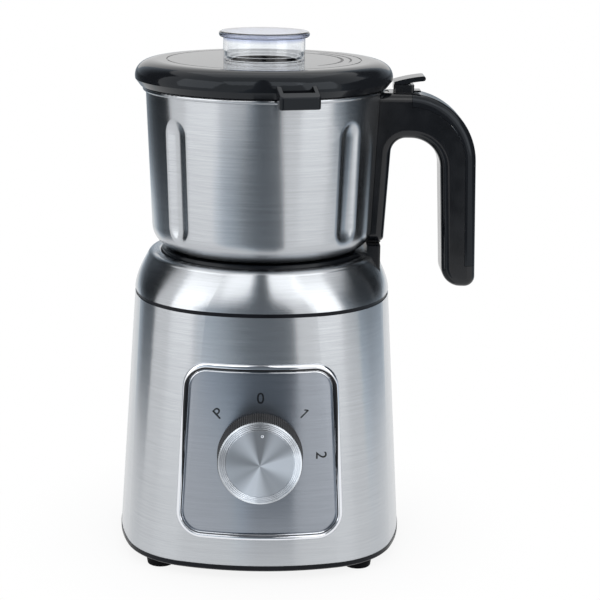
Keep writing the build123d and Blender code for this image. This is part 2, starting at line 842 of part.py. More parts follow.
# Motor: stator stack with slots for the field coils
shaft_top = driver_level + coupling_disc
coil_clear = seat_gap
with BuildPart() as motor_stator:
    with BuildSketch(Plane.XY.offset(stator_bottom)):
        RectangleRounded(2 * stator_half, 2 * stator_half, stator_corner)
        Circle(stator_bore, mode=Mode.SUBTRACT)
    extrude(amount=stator_height)
    slot_half = coil_leg / 2 + math.degrees(coil_clear / coil_inner)
    for pole in (90, 270):
        for side in (-1, 1):
            middle = pole + side * (coil_span - coil_leg / 2)
            ring_sector(coil_inner - coil_clear, coil_outer + coil_clear, stator_bottom, stator_height,
                        middle, slot_half, mode=Mode.SUBTRACT)
motor_stator.part.label = "motor_stator"
export_step(motor_stator.part, "parts/motor_stator.step")

with BuildPart() as field_windings:
    for pole in (90, 270):
        for level in (stator_bottom - seat_gap - coil_overhang, stator_top + seat_gap):
            ring_sector(coil_inner, coil_outer, level, coil_overhang, pole, coil_span)
        for side in (-1, 1):
            middle = pole + side * (coil_span - coil_leg / 2)
            ring_sector(coil_inner, coil_outer, stator_bottom - coil_overhang,
                        stator_height + 2 * coil_overhang, middle, coil_leg / 2)
field_windings.part.label = "field_windings"
export_step(field_windings.part, "parts/field_windings.step")

# Brackets: each has two legs on the stator and a cup for its bearing
leg_width = stator_half - bracket_leg_inner
leg_middle = (stator_half + bracket_leg_inner) / 2
leg_places = [(leg_middle, 0), (-leg_middle, 0)]
with BuildPart() as upper_bracket:
    with Locations((0, 0, upper_bracket_level)):
        Box(2 * stator_half, 2 * upper_bracket_half_y, bracket_thickness,
            align=(Align.CENTER, Align.CENTER, Align.MIN))
        post(bearing_radius + bearing_cup_wall, bearing_height + cup_floor)
    with Locations(levels(leg_places, stator_top)):
        Box(leg_width, 2 * bracket_leg_half, upper_bracket_level - stator_top,
            align=(Align.CENTER, Align.CENTER, Align.MIN))
    with Locations((0, 0, upper_bracket_level + cup_floor)):
        post(bearing_radius + press_gap, bearing_height + cup_floor, mode=Mode.SUBTRACT)
    with Locations((0, 0, upper_bracket_level)):
        post(shaft_radius + cup_floor, bearing_height, mode=Mode.SUBTRACT)
    with Locations(levels(motor_post_points, upper_bracket_level)):
        post(screw_radius + screw_gap, bracket_thickness, mode=Mode.SUBTRACT)
upper_bracket.part.label = "upper_bracket"
export_step(upper_bracket.part, "parts/upper_bracket.step")

with BuildPart() as lower_bracket:
    with Locations((0, 0, lower_bracket_level)):
        Box(2 * stator_half, 2 * bracket_leg_half, bracket_thickness,
            align=(Align.CENTER, Align.CENTER, Align.MIN))
        post(bearing_radius + bearing_cup_wall, bearing_height + cup_floor)
    with Locations(levels(leg_places, lower_bracket_level)):
        Box(leg_width, 2 * bracket_leg_half, stator_bottom - lower_bracket_level,
            align=(Align.CENTER, Align.CENTER, Align.MIN))
    with Locations((0, 0, lower_bracket_level + cup_floor)):
        post(bearing_radius + press_gap, bearing_height + cup_floor, mode=Mode.SUBTRACT)
    with Locations((0, 0, lower_bracket_level)):
        post(shaft_radius + cup_floor, bearing_height, mode=Mode.SUBTRACT)
lower_bracket.part.label = "lower_bracket"
export_step(lower_bracket.part, "parts/lower_bracket.step")

with BuildPart() as motor_bearings:
    with Locations((0, 0, upper_bracket_level + cup_floor), (0, 0, lower_bracket_level + cup_floor)):
        post(bearing_radius, bearing_height)
        post(shaft_radius + shaft_gap, bearing_height, mode=Mode.SUBTRACT)
motor_bearings.part.label = "motor_bearings"
export_step(motor_bearings.part, "parts/motor_bearings.step")

# Carbon brushes in their holders, one each side of the commutator
brush_level = commutator_bottom + commutator_height / 2
brush_start = commutator_radius + brush_gap
holder_half = brush_half + holder_slack + holder_wall
holder_rise = brush_height / 2 + holder_slack + holder_wall
with BuildPart() as brush_holders:
    for side in (-1, 1):
        holder_start = brush_start + brush_proud
        holder_length = bracket_leg_inner - holder_start
        with Locations((side * (holder_start + holder_length / 2), 0, brush_level)):
            Box(holder_length, 2 * holder_half, 2 * holder_rise)
            Box(holder_length, 2 * (brush_half + holder_slack), brush_height + 2 * holder_slack,
                mode=Mode.SUBTRACT)
brush_holders.part.label = "brush_holders"
export_step(brush_holders.part, "parts/brush_holders.step")

with BuildPart() as carbon_brushes:
    for side in (-1, 1):
        with Locations((side * (brush_start + brush_length / 2), 0, brush_level)):
            Box(brush_length, 2 * brush_half, brush_height)
carbon_brushes.part.label = "carbon_brushes"
export_step(carbon_brushes.part, "parts/carbon_brushes.step")

# Rubber mounts between the upper bracket and the chassis posts, and the screws through them
with BuildPart() as motor_mounts:
    with Locations(levels(motor_post_points, bracket_top)):
        post(mount_radius, mount_height)
        post(screw_radius + screw_gap, mount_height, mode=Mode.SUBTRACT)
motor_mounts.part.label = "motor_mounts"
export_step(motor_mounts.part, "parts/motor_mounts.step")

with BuildPart() as motor_screws:
    with Locations(levels(motor_post_points, 0)):
        screw(upper_bracket_level, bracket_thickness + mount_height + boss_depth)
motor_screws.part.label = "motor_screws"
export_step(motor_screws.part, "parts/motor_screws.step")

# Rotor: shaft, core, end windings, commutator and fan
with BuildPart() as motor_shaft:
    with Locations((0, 0, shaft_bottom)):
        post(shaft_radius, shaft_top - shaft_bottom)
    chamfer(motor_shaft.edges().filter_by(GeomType.CIRCLE), shaft_edge)
motor_shaft.part.label = "motor_shaft"
export_step(motor_shaft.part, "parts/motor_shaft.step")

rotor_radius = stator_bore - rotor_gap
rotor_bottom = stator_bottom + rotor_overhang
rotor_height = stator_height - 2 * rotor_overhang
with BuildPart() as rotor_core:
    with BuildSketch(Plane.XY.offset(rotor_bottom)):
        Circle(rotor_radius)
        Circle(shaft_radius + press_gap, mode=Mode.SUBTRACT)
        with PolarLocations(rotor_radius, rotor_slots):
            Rectangle(2 * rotor_slot_depth, rotor_slot_width, mode=Mode.SUBTRACT)
    extrude(amount=rotor_height)
rotor_core.part.label = "rotor_core"
export_step(rotor_core.part, "parts/rotor_core.step")

with BuildPart() as rotor_windings:
    for level in (rotor_bottom - seat_gap - winding_overhang, rotor_bottom + rotor_height + seat_gap):
        with BuildSketch(Plane.XY.offset(level)):
            Circle(winding_outer)
            Circle(winding_inner, mode=Mode.SUBTRACT)
        extrude(amount=winding_overhang)
    ends = rotor_windings.edges().filter_by(GeomType.CIRCLE).group_by(SortBy.RADIUS)[-1]
    fillet(ends, winding_overhang / 3)
rotor_windings.part.label = "rotor_windings"
export_step(rotor_windings.part, "parts/rotor_windings.step")

with BuildPart() as commutator:
    with BuildSketch(Plane.XY.offset(commutator_bottom)):
        Circle(commutator_radius)
        Circle(shaft_radius + press_gap, mode=Mode.SUBTRACT)
        with PolarLocations(commutator_radius, commutator_bars):
            Rectangle(2 * bar_gap, bar_gap / 2, mode=Mode.SUBTRACT)
    extrude(amount=commutator_height)
commutator.part.label = "commutator"
export_step(commutator.part, "parts/commutator.step")

with BuildPart() as cooling_fan:
    with BuildSketch(Plane.XY.offset(fan_bottom)):
        Circle(fan_radius)
    extrude(amount=fan_disc)
    with BuildSketch(Plane.XY.offset(fan_bottom)):
        Circle(fan_hub)
    extrude(amount=fan_height)
    with BuildSketch(Plane.XY.offset(fan_bottom + fan_disc)):
        with PolarLocations((fan_radius + fan_hub) / 2 - fan_blade_width, fan_blades):
            Rectangle(fan_radius - fan_hub, fan_blade_width)
    extrude(amount=fan_height - fan_disc)
    with BuildSketch(Plane.XY.offset(fan_bottom)):
        Circle(shaft_radius + press_gap)
    extrude(amount=fan_height, mode=Mode.SUBTRACT)
cooling_fan.part.label = "cooling_fan"
export_step(cooling_fan.part, "parts/cooling_fan.step")

# Dog clutch: the driver's lugs stand between the lugs of the driven half
driven_lug_level = driver_level + coupling_disc + lug_clearance
driven_level = driven_lug_level + lug_height
with BuildPart() as drive_coupling:
    with Locations((0, 0, driver_level)):
        post(coupling_radius, coupling_disc)
    for lug in range(lug_count):
        ring_sector(lug_inner, coupling_radius, driver_level + coupling_disc, lug_height,
                    360 * lug / lug_count, lug_angle / 2)
    with Locations((0, 0, driver_level)):
        post(shaft_radius + press_gap, coupling_disc, mode=Mode.SUBTRACT)
drive_coupling.part.label = "drive_coupling"
export_step(drive_coupling.part, "parts/drive_coupling.step")

# Interlock: a plunger through the collar's block, over a switch that stands on the deck
plunger_foot = block_bottom - running_gap - plunger_flange_height
with BuildPart() as interlock_plunger:
    with Locations((plunger_x, 0, plunger_foot)):
        post(plunger_flange_radius, plunger_flange_height)
        post(plunger_radius, plunger_top - plunger_foot)
interlock_plunger.part.label = "interlock_plunger"
export_step(interlock_plunger.part, "parts/interlock_plunger.step")

microswitch_outer = plunger_x + microswitch_overhang
with BuildPart() as interlock_switch:
    with Locations((microswitch_outer, 0, deck_top)):
        Box(microswitch_width, 2 * microswitch_half, microswitch_height,
            align=(Align.MAX, Align.CENTER, Align.MIN))
    with Locations((microswitch_outer - button_radius - seat_gap, 0, deck_top + microswitch_height)):
        post(button_radius, button_rise)
interlock_switch.part.label = "interlock_switch"
export_step(interlock_switch.part, "parts/interlock_switch.step")

# Circuit board, standing in the slot of the bottom cover
with BuildPart() as circuit_board:
    with Locations((0, board_y, board_bottom)):
        Box(2 * board_half, board_thickness, board_height, align=(Align.CENTER, Align.CENTER, Align.MIN))
    with BuildSketch(Plane.XZ.offset(-board_y - board_thickness / 2)):
        with Locations((-board_half / 2, board_bottom + board_part_level)):
            Circle(capacitor_radius)
        with Locations((board_half / 2, board_bottom + board_part_level)):
            Rectangle(relay_width, relay_height)
    extrude(amount=-board_part_depth)
circuit_board.part.label = "circuit_board"
export_step(circuit_board.part, "parts/circuit_board.step")

# Grinding bowl: a spun shell with four pressed flutes and a rolled rim
flute_low = bowl_bottom + flute_bottom
flute_high = bowl_bottom + flute_top
flute_out = flute_radius - flute_depth


def flute_form(radius):
    """A leaning capsule outside the wall; the wall follows its inner side."""
    low = Vector(bowl_radius(flute_low) + flute_out, 0, flute_low)
    high = Vector(bowl_radius(flute_high) + flute_out, 0, flute_high)
    along = high - low
    with BuildPart(mode=Mode.PRIVATE) as form:
        with BuildSketch(Plane(origin=low, z_dir=along)):
            Circle(radius)
        extrude(amount=along.length)
        with Locations(low, high):
            Sphere(radius)
    return form.part


def bowl_form(inset):
    """The bowl's outer form as a solid, moved inward by inset."""
    foot = bowl_bottom + inset
    with BuildPart(mode=Mode.PRIVATE) as form:
        with BuildSketch(Plane.XZ):
            with BuildLine():
                side = FilletPolyline((0, foot), (bowl_radius(foot) - inset, foot),
                                      (bowl_radius(rim_level) - inset, rim_level), radius=bowl_corner - inset)
                Polyline(side @ 1, (0, rim_level), (0, foot))
            make_face()
        revolve(axis=Axis.Z)
    return form.part


def on_wall(edge):
    """Whether the edge's middle lies on the bowl's outer wall."""
    middle = edge.position_at(0.5)
    return abs(math.hypot(middle.X, middle.Y) - bowl_radius(middle.Z)) < seat_gap


flute_turns = [turn + side * flute_angle for turn in (90, 270) for side in (-1, 1)]
bowl_skin = bowl_form(0)
outer_flute = flute_form(flute_radius)
inner_flute = flute_form(flute_radius + bowl_wall)
bowl_hollow = bowl_form(bowl_wall)
for turn in flute_turns:
    bowl_hollow = bowl_hollow - Rot(0, 0, turn) * inner_flute
with BuildPart() as grinding_bowl:
    add(bowl_skin)
    for turn in flute_turns:
        add(Rot(0, 0, turn) * outer_flute, mode=Mode.SUBTRACT)
        fillet(grinding_bowl.edges(Select.LAST).filter_by(on_wall), flute_edge)
    add(bowl_hollow, mode=Mode.SUBTRACT)
    with BuildSketch(Plane.XZ):
        with Locations((bowl_mouth_radius + rim_radius - bowl_wall, rim_level)):
            Circle(rim_radius)
    revolve(axis=Axis.Z)
    with Locations((0, 0, bowl_bottom)):
        post(bush_radius + press_gap, bowl_wall, mode=Mode.SUBTRACT)
grinding_bowl.part.label = "grinding_bowl"
export_step(grinding_bowl.part, "parts/grinding_bowl.step")

# Foot ring under the bowl, clamped by the nut of the blade bearing
ring_foot = recess_level + running_gap
ring_top = bowl_bottom
ring_radius = recess_radius - base_ring_gap
with BuildPart() as bowl_base_ring:
    with Locations((0, 0, ring_foot)):
        post(ring_radius, ring_top - ring_foot)
        post(ring_radius - base_ring_wall, ring_top - base_ring_plate - ring_foot, mode=Mode.SUBTRACT)
    chamfer(bowl_base_ring.faces().sort_by(Axis.Z)[0].edges(), base_ring_edge)
    with Locations((0, 0, ring_top - base_ring_plate)):
        post(bush_radius + press_gap, base_ring_plate, mode=Mode.SUBTRACT)
bowl_base_ring.part.label = "bowl_base_ring"
export_step(bowl_base_ring.part, "parts/bowl_base_ring.step")

bush_bottom = ring_top - base_ring_plate - bearing_nut_height - bush_proud
with BuildPart() as blade_bearing:
    with Locations((0, 0, bush_bottom)):
        post(bush_radius, bowl_floor - bush_bottom)
    with Locations((0, 0, bowl_floor)):
        post(bush_flange_radius, bush_flange_thickness)
    with Locations((0, 0, bush_bottom)):
        post(blade_shaft_radius + shaft_gap, bowl_floor + bush_flange_thickness - bush_bottom,
             mode=Mode.SUBTRACT)
blade_bearing.part.label = "blade_bearing"
export_step(blade_bearing.part, "parts/blade_bearing.step")

with BuildPart() as bearing_nut:
    with BuildSketch(Plane.XY.offset(ring_top - base_ring_plate - bearing_nut_height)):
        RegularPolygon(bearing_nut_across / 2, 6, major_radius=False)
        Circle(bush_radius + press_gap, mode=Mode.SUBTRACT)
    extrude(amount=bearing_nut_height)
bearing_nut.part.label = "bearing_nut"
export_step(bearing_nut.part, "parts/bearing_nut.step")

# Shaft seal on the bearing, then the stack on the blade shaft
seal_level = bowl_floor + bush_flange_thickness
with BuildPart() as shaft_seal:
    with Locations((0, 0, seal_level)):
        Cone(seal_radius, seal_radius - 1, seal_height, align=(Align.CENTER, Align.CENTER, Align.MIN))
        post(blade_shaft_radius + shaft_gap, seal_height, mode=Mode.SUBTRACT)
shaft_seal.part.label = "shaft_seal"
export_step(shaft_seal.part, "parts/shaft_seal.step")

sleeve_level = seal_level + seal_height + running_gap
lower_blade_level = sleeve_level + sleeve_height
spacer_level = lower_blade_level + blade_thickness
upper_blade_level = spacer_level + spacer_height
nut_seat = upper_blade_level + blade_thickness
blade_bore = blade_shaft_radius + press_gap

with BuildPart() as blade_shaft:
    with Locations((0, 0, driven_level)):
        post(blade_shaft_radius, nut_seat + blade_nut_height / 2 - driven_level)
blade_shaft.part.label = "blade_shaft"
export_step(blade_shaft.part, "parts/blade_shaft.step")

hub_top = bush_bottom - running_gap
with BuildPart() as driven_coupling:
    with Locations((0, 0, driven_level)):
        post(coupling_radius, coupling_disc)
        post(lug_inner, hub_top - driven_level)
    for lug in range(lug_count):
        ring_sector(lug_inner, coupling_radius, driven_lug_level, lug_height,
                    360 * (lug + 0.5) / lug_count, lug_angle / 2)
    with Locations((0, 0, driven_level)):
        post(blade_bore, hub_top - driven_level, mode=Mode.SUBTRACT)
driven_coupling.part.label = "driven_coupling"
export_step(driven_coupling.part, "parts/driven_coupling.step")

with BuildPart() as blade_spacers:
    for level, height in ((sleeve_level, sleeve_height), (spacer_level, spacer_height)):
        with Locations((0, 0, level)):
            post(sleeve_radius, height)
            post(blade_bore, height, mode=Mode.SUBTRACT)
blade_spacers.part.label = "blade_spacers"
export_step(blade_spacers.part, "parts/blade_spacers.step")


def blade(level, reach, bend):
    """Two tapered wings on a hub, each bent up or down where it leaves the hub."""
    rise = (reach - blade_hub_radius) * math.tan(math.radians(bend))
    for side in (-1, 1):
        with BuildSketch(Plane.XZ) as wing:
            root = side * sleeve_radius
            knee = side * blade_hub_radius
            tip = side * reach
            Polygon((root, level), (knee, level), (tip, level + rise),
                    (tip, level + rise + blade_thickness), (knee, level + blade_thickness),
                    (root, level + blade_thickness), align=None)
        extrude(wing.sketch, amount=blade_root_half, both=True)
    with BuildSketch(Plane.XY.offset(level - abs(rise))) as edge_lines:
        Polygon((-reach, blade_tip_half), (-reach, -blade_root_half), (0, -blade_root_half),
                (reach, -blade_tip_half), (reach, blade_root_half), (0, blade_root_half), align=None)
    extrude(edge_lines.sketch, amount=2 * abs(rise) + blade_thickness, mode=Mode.INTERSECT)
    with Locations((0, 0, level)):
        post(blade_hub_radius, blade_thickness)
        post(blade_bore, blade_thickness, mode=Mode.SUBTRACT)


with BuildPart() as lower_blade:
    blade(lower_blade_level, blade_reach, lower_blade_bend)
lower_blade.part.label = "lower_blade"
export_step(lower_blade.part, "parts/lower_blade.step")

with BuildPart() as upper_blade:
    blade(upper_blade_level, blade_upper_reach, upper_blade_bend)
upper_blade.part = Rot(0, 0, 90) * upper_blade.part
upper_blade.part.label = "upper_blade"
export_step(upper_blade.part, "parts/upper_blade.step")

with BuildPart() as blade_nut:
    with BuildSketch(Plane.XY.offset(nut_seat)):
        RegularPolygon(blade_nut_across / 2, 6, major_radius=False)
    extrude(amount=blade_nut_height)
    with Locations((0, 0, nut_seat)):
        post(blade_bore, blade_nut_height / 2 + seat_gap, mode=Mode.SUBTRACT)
    chamfer(blade_nut.faces().sort_by(Axis.Z)[-1].edges(), blade_nut_height / 6)
blade_nut.part.label = "blade_nut"
export_step(blade_nut.part, "parts/blade_nut.step")

# Handle: one outline in the XZ plane, rounded, then split into a body and an outer cover
handle_top = rim_level - handle_drop
arch_x = bowl_radius(handle_top) + arch_flat
arch_level = handle_top - arch_radius
arch_underside = handle_top - arch_depth
grip_bottom = handle_top - grip_length
bracket_bottom = bowl_bottom + bracket_foot
bracket_top_x = bowl_radius(arch_underside) + bracket_wall_top
bracket_bottom_x = bowl_radius(bracket_bottom) + bracket_wall_bottom
grip_inner_top_x = bracket_top_x + finger_space
inner_spread = math.tan(math.radians(grip_inner_lean)) * (arch_underside - grip_bottom)
outer_lean = math.radians(grip_outer_lean)
handle_root_x = bowl_foot_radius - bowl_corner
cover_radius = arch_radius - handle_cover_top
cover_arc_x = arch_x + arch_radius - handle_cover_side - cover_radius


def leaning_line(start, bottom):
    """Where a line that leans out from this point downward meets the level of bottom."""
    return (start.X + math.tan(outer_lean) * (start.Y - bottom), bottom)


with BuildPart(mode=Mode.PRIVATE) as handle_form:
    with BuildSketch(Plane.XZ):
        with BuildLine():
            crown = CenterArc((arch_x, arch_level), arch_radius, grip_outer_lean, 90 - grip_outer_lean)
            Line(crown @ 1, (handle_root_x, handle_top))
            FilletPolyline(crown @ 0, leaning_line(crown @ 0, grip_bottom),
                           (grip_inner_top_x + inner_spread, grip_bottom), (grip_inner_top_x, arch_underside),
                           (bracket_top_x, arch_underside), (bracket_bottom_x, bracket_bottom),
                           (handle_root_x, bracket_bottom),
                           radius=[grip_outer_round, grip_inner_round, arch_corner, bracket_corner,
                                   bracket_round])
            Line((handle_root_x, bracket_bottom), (handle_root_x, handle_top))
        make_face()
    extrude(amount=handle_half_width, both=True)
    sides = handle_form.faces().filter_by(Axis.Y)
    rims = sides.edges().filter_by(lambda edge: edge.center().X > handle_root_x + 1)
    fillet(rims, handle_edge)


def cover_region(margin):
    """The space of the outer cover, from above the arch to the grip's end, grown by margin."""
    start_x = bowl_radius(handle_top) + handle_cover_start - margin
    end_level = grip_bottom + handle_cover_end - margin
    far_x = arch_x + 2 * arch_radius
    inner_radius = cover_radius - margin
    start_angle = math.degrees(math.acos((start_x - cover_arc_x) / inner_radius))
    with BuildPart(mode=Mode.PRIVATE) as region:
        with BuildSketch(Plane.XZ):
            with BuildLine():
                arc = CenterArc((cover_arc_x, arch_level), inner_radius, grip_outer_lean,
                                start_angle - grip_outer_lean)
                foot = leaning_line(arc @ 0, end_level)
                Polyline(arc @ 0, foot, (far_x, end_level), (far_x, handle_top + margin + 1),
                         (start_x, handle_top + margin + 1), arc @ 1)
            make_face()
        extrude(amount=2 * handle_half_width, both=True)
    return region.part


# The bracket lies on the bowl's wall, with a channel for the interlock rod
rod_channel_half = rod_half_width + rod_slack
rod_channel_depth = rod_wall_gap + rod_thickness + rod_slack
rod_tip_x = plunger_x + plunger_radius
nose_bottom = block_top + nose_gap
screw_level = handle_top - handle_screw_drop
screw_row = (lug_plate_inner + lug_plate_outer) / 2
screw_wall = bowl_radius(screw_level)
screw_plane = Plane(origin=(screw_wall + handle_screw_seat, 0, screw_level), x_dir=(0, 1, 0), z_dir=(1, 0, 0))
lug_width = lug_plate_outer - lug_plate_inner


def wall_strip(inner, outer, low, high, half_width, foot_x=None):
    """A strip along the bowl's wall between two distances from it; foot_x narrows its lower end."""
    low_inner = (bowl_radius(low) + inner, low)
    low_outer = (bowl_radius(low) + outer, low)
    high_outer = (bowl_radius(high) + outer, high)
    high_inner = (bowl_radius(high) + inner, high)
    with BuildPart(mode=Mode.PRIVATE) as strip:
        with BuildSketch(Plane.XZ):
            if foot_x:
                step = low + rod_tip_length
                Polygon(low_inner, (foot_x, low), (foot_x, step), (bowl_radius(step + 1) + outer, step + 1),
                        high_outer, high_inner, align=None)
            else:
                Polygon(low_inner, low_outer, high_outer, high_inner, align=None)
        extrude(amount=half_width, both=True)
    return strip.part


def lug_blocks(margin):
    """The two lugs on the bowl's wall, grown by margin."""
    with BuildPart(mode=Mode.PRIVATE) as blocks:
        with BuildSketch(screw_plane.offset(lug_plate_reach - handle_screw_seat + margin)):
            with Locations((-screw_row, 0), (screw_row, 0)):
                Rectangle(lug_width + 2 * margin, lug_plate_height + 2 * margin)
        extrude(amount=-bowl_corner)
        add(bowl_form(-seat_gap), mode=Mode.SUBTRACT)
    return blocks.part


bowl_seat = bowl_form(-seat_gap)
with BuildPart() as handle_body:
    add(handle_form.part)
    with Locations(((handle_root_x + rod_tip_x + running_gap + nose_skin) / 2, 0, nose_bottom)):
        Box(rod_tip_x + running_gap + nose_skin - handle_root_x, 2 * nose_half_width,
            bracket_round + bracket_bottom - nose_bottom, align=(Align.CENTER, Align.CENTER, Align.MIN))
    add(cover_region(split_gap), mode=Mode.SUBTRACT)
    add(bowl_seat, mode=Mode.SUBTRACT)
    channel_foot = bracket_bottom + seat_gap
    add(wall_strip(-bracket_wall_bottom, rod_channel_depth, channel_foot, handle_top + 1, rod_channel_half),
        mode=Mode.SUBTRACT)
    with Locations(((handle_root_x + rod_tip_x + running_gap) / 2, 0, nose_bottom)):
        Box(rod_tip_x + running_gap - handle_root_x, 2 * rod_channel_half, bracket_bottom - nose_bottom + 1,
            align=(Align.CENTER, Align.CENTER, Align.MIN), mode=Mode.SUBTRACT)
    add(lug_blocks(seat_gap), mode=Mode.SUBTRACT)
    with BuildSketch(screw_plane):
        with Locations((-screw_row, 0), (screw_row, 0)):
            Circle(handle_screw_head + seat_gap)
    extrude(amount=handle_cover_start, mode=Mode.SUBTRACT)
    with BuildSketch(screw_plane):
        with Locations((-screw_row, 0), (screw_row, 0)):
            Circle(screw_radius + screw_gap)
    extrude(amount=-handle_screw_seat, mode=Mode.SUBTRACT)
handle_body.part.label = "handle_body"
export_step(handle_body.part, "parts/handle_body.step")

with BuildPart() as handle_cover:
    add(handle_form.part)
    add(cover_region(0), mode=Mode.INTERSECT)
handle_cover.part.label = "handle_cover"
export_step(handle_cover.part, "parts/handle_cover.step")

with BuildPart() as handle_lugs:
    add(lug_blocks(0))
    with BuildSketch(screw_plane):
        with Locations((-screw_row, 0), (screw_row, 0)):
            Circle(screw_radius + screw_gap)
    extrude(amount=-handle_screw_seat, mode=Mode.SUBTRACT)
handle_lugs.part.label = "handle_lugs"
export_step(handle_lugs.part, "parts/handle_lugs.step")

with BuildPart() as handle_screws:
    with BuildSketch(screw_plane):
        with Locations((-screw_row, 0), (screw_row, 0)):
            Circle(handle_screw_head)
            Rectangle(screw_radius / 2, handle_screw_head, mode=Mode.SUBTRACT)
    extrude(amount=screw_head_height)
    with BuildSketch(screw_plane):
        with Locations((-screw_row, 0), (screw_row, 0)):
            Circle(screw_radius)
    extrude(amount=screw_head_height / 2)
    with BuildSketch(screw_plane):
        with Locations((-screw_row, 0), (screw_row, 0)):
            Circle(screw_radius)
    extrude(amount=running_gap - handle_screw_seat)
handle_screws.part.label = "handle_screws"
export_step(handle_screws.part, "parts/handle_screws.step")

# Interlock rod, between the bowl's wall and the handle's bracket, over the plunger
with BuildPart() as interlock_rod:
    add(wall_strip(rod_wall_gap, rod_wall_gap + rod_thickness, plunger_top + running_gap,
                   handle_top - running_gap, rod_half_width, foot_x=rod_tip_x))
interlock_rod.part.label = "interlock_rod"
export_step(interlock_rod.part, "parts/interlock_rod.step")

# Latch on top of the handle: a tower with a slot, a pin and a lever
tower_inner = lid_radius + latch_gap
tower_outer = tower_inner + tower_length
pin_x = tower_inner + latch_pin_set
pin_level = handle_top + latch_pin_rise
tower_top = handle_top + tower_height
pin_plane = Plane(origin=(pin_x, 0, pin_level), x_dir=(1, 0, 0), z_dir=(0, -1, 0))
claw_x = lid_radius + claw_gap
with BuildPart() as latch_tower:
    with Locations(((tower_inner + tower_outer) / 2, 0, handle_top)):
        Box(tower_length, 2 * tower_half, tower_height, align=(Align.CENTER, Align.CENTER, Align.MIN))
    fillet(latch_tower.edges().filter_by(Axis.Z).group_by(Axis.X)[-1], tower_wall)
    with Locations((tower_outer, 0, handle_top)):
        Box(2 * tongue_length, 2 * tower_slot, tongue_thickness,
            align=(Align.CENTER, Align.CENTER, Align.MIN))
    with Locations((tower_inner + (tower_length - tower_wall) / 2, 0, handle_top)):
        Box(tower_length - tower_wall, 2 * tower_slot, tower_height,
            align=(Align.CENTER, Align.CENTER, Align.MIN), mode=Mode.SUBTRACT)
    with BuildSketch(pin_plane):
        Circle(latch_pin_radius + press_gap)
    extrude(amount=tower_half, both=True, mode=Mode.SUBTRACT)
latch_tower.part.label = "latch_tower"
export_step(latch_tower.part, "parts/latch_tower.step")

with BuildPart() as latch_pin:
    with BuildSketch(pin_plane):
        Circle(latch_pin_radius)
    extrude(amount=tower_half, both=True)
latch_pin.part.label = "latch_pin"
export_step(latch_pin.part, "parts/latch_pin.step")


def paddle_outline():
    """The lever's plate in the current sketch, crowned on top, rounded at its tip."""
    inner = Vector(claw_x, handle_top + paddle_rise_inner)
    tip = Vector(claw_x + paddle_length, handle_top + paddle_rise_outer)
    crown = (inner + tip) / 2 + Vector(0, paddle_crown)
    down = Vector(0, -paddle_thickness)
    with BuildLine() as outline_edges:
        ThreePointArc(inner, crown, tip)
        ThreePointArc(inner + down, crown + down, tip + down)
        Line(inner, inner + down)
        ThreePointArc(tip, tip + down / 2 + Vector(paddle_thickness / 2, 0), tip + down)
    make_face(outline_edges.edges())


with BuildPart() as latch_lever:
    with BuildSketch(Plane.XZ):
        paddle_outline()
        with Locations((claw_x, tower_top + running_gap)):
            Rectangle(2 * paddle_length, tower_height, align=(Align.CENTER, Align.MAX), mode=Mode.SUBTRACT)
    extrude(amount=latch_half, both=True)
    with BuildSketch(Plane.XZ):
        paddle_outline()
        claw_top = handle_top + paddle_rise_inner - paddle_thickness / 2
        with Locations((claw_x, claw_top)):
            Rectangle(claw_thickness, claw_drop - paddle_thickness / 2, align=(Align.MIN, Align.MAX))
        with Locations((pin_x, pin_level)):
            Circle(latch_belly_radius)
            Rectangle(2 * latch_belly_radius, paddle_thickness, align=(Align.CENTER, Align.MIN))
    extrude(amount=latch_belly_half, both=True)
    with BuildSketch(pin_plane):
        Circle(latch_pin_radius + shaft_gap)
    extrude(amount=latch_half, both=True, mode=Mode.SUBTRACT)
latch_lever.part.label = "latch_lever"
export_step(latch_lever.part, "parts/latch_lever.step")

# Lid: a crowned cover with a loop on its skirt, and an inner plate with the plug and the chimney
lid_wide = lid_bottom + lid_wide_level
seal_level_low = rim_level - seal_below_rim - seal_section / 2
plug_bottom = lid_bottom - plug_depth
loop_plane = Plane.XZ.rotated((0, 0, loop_angle))
loop_reach = lid_radius + loop_out


def lid_profile(inset):
    """Half section of the lid's outer form, moved inward by inset, from the axis to its foot."""
    top = lid_top - inset
    wide = lid_radius - inset
    foot = lid_foot_radius - inset
    with BuildLine() as section:
        flat = Line((0, top), (lid_flat_radius, top))
        shoulder = Spline(flat @ 1, (wide, lid_wide), tangents=((1, 0), (-0.15, -1)))
        skirt = Line(shoulder @ 1, (foot, lid_bottom))
        Polyline(skirt @ 1, (0, lid_bottom), flat @ 0)
    make_face(section.edges())


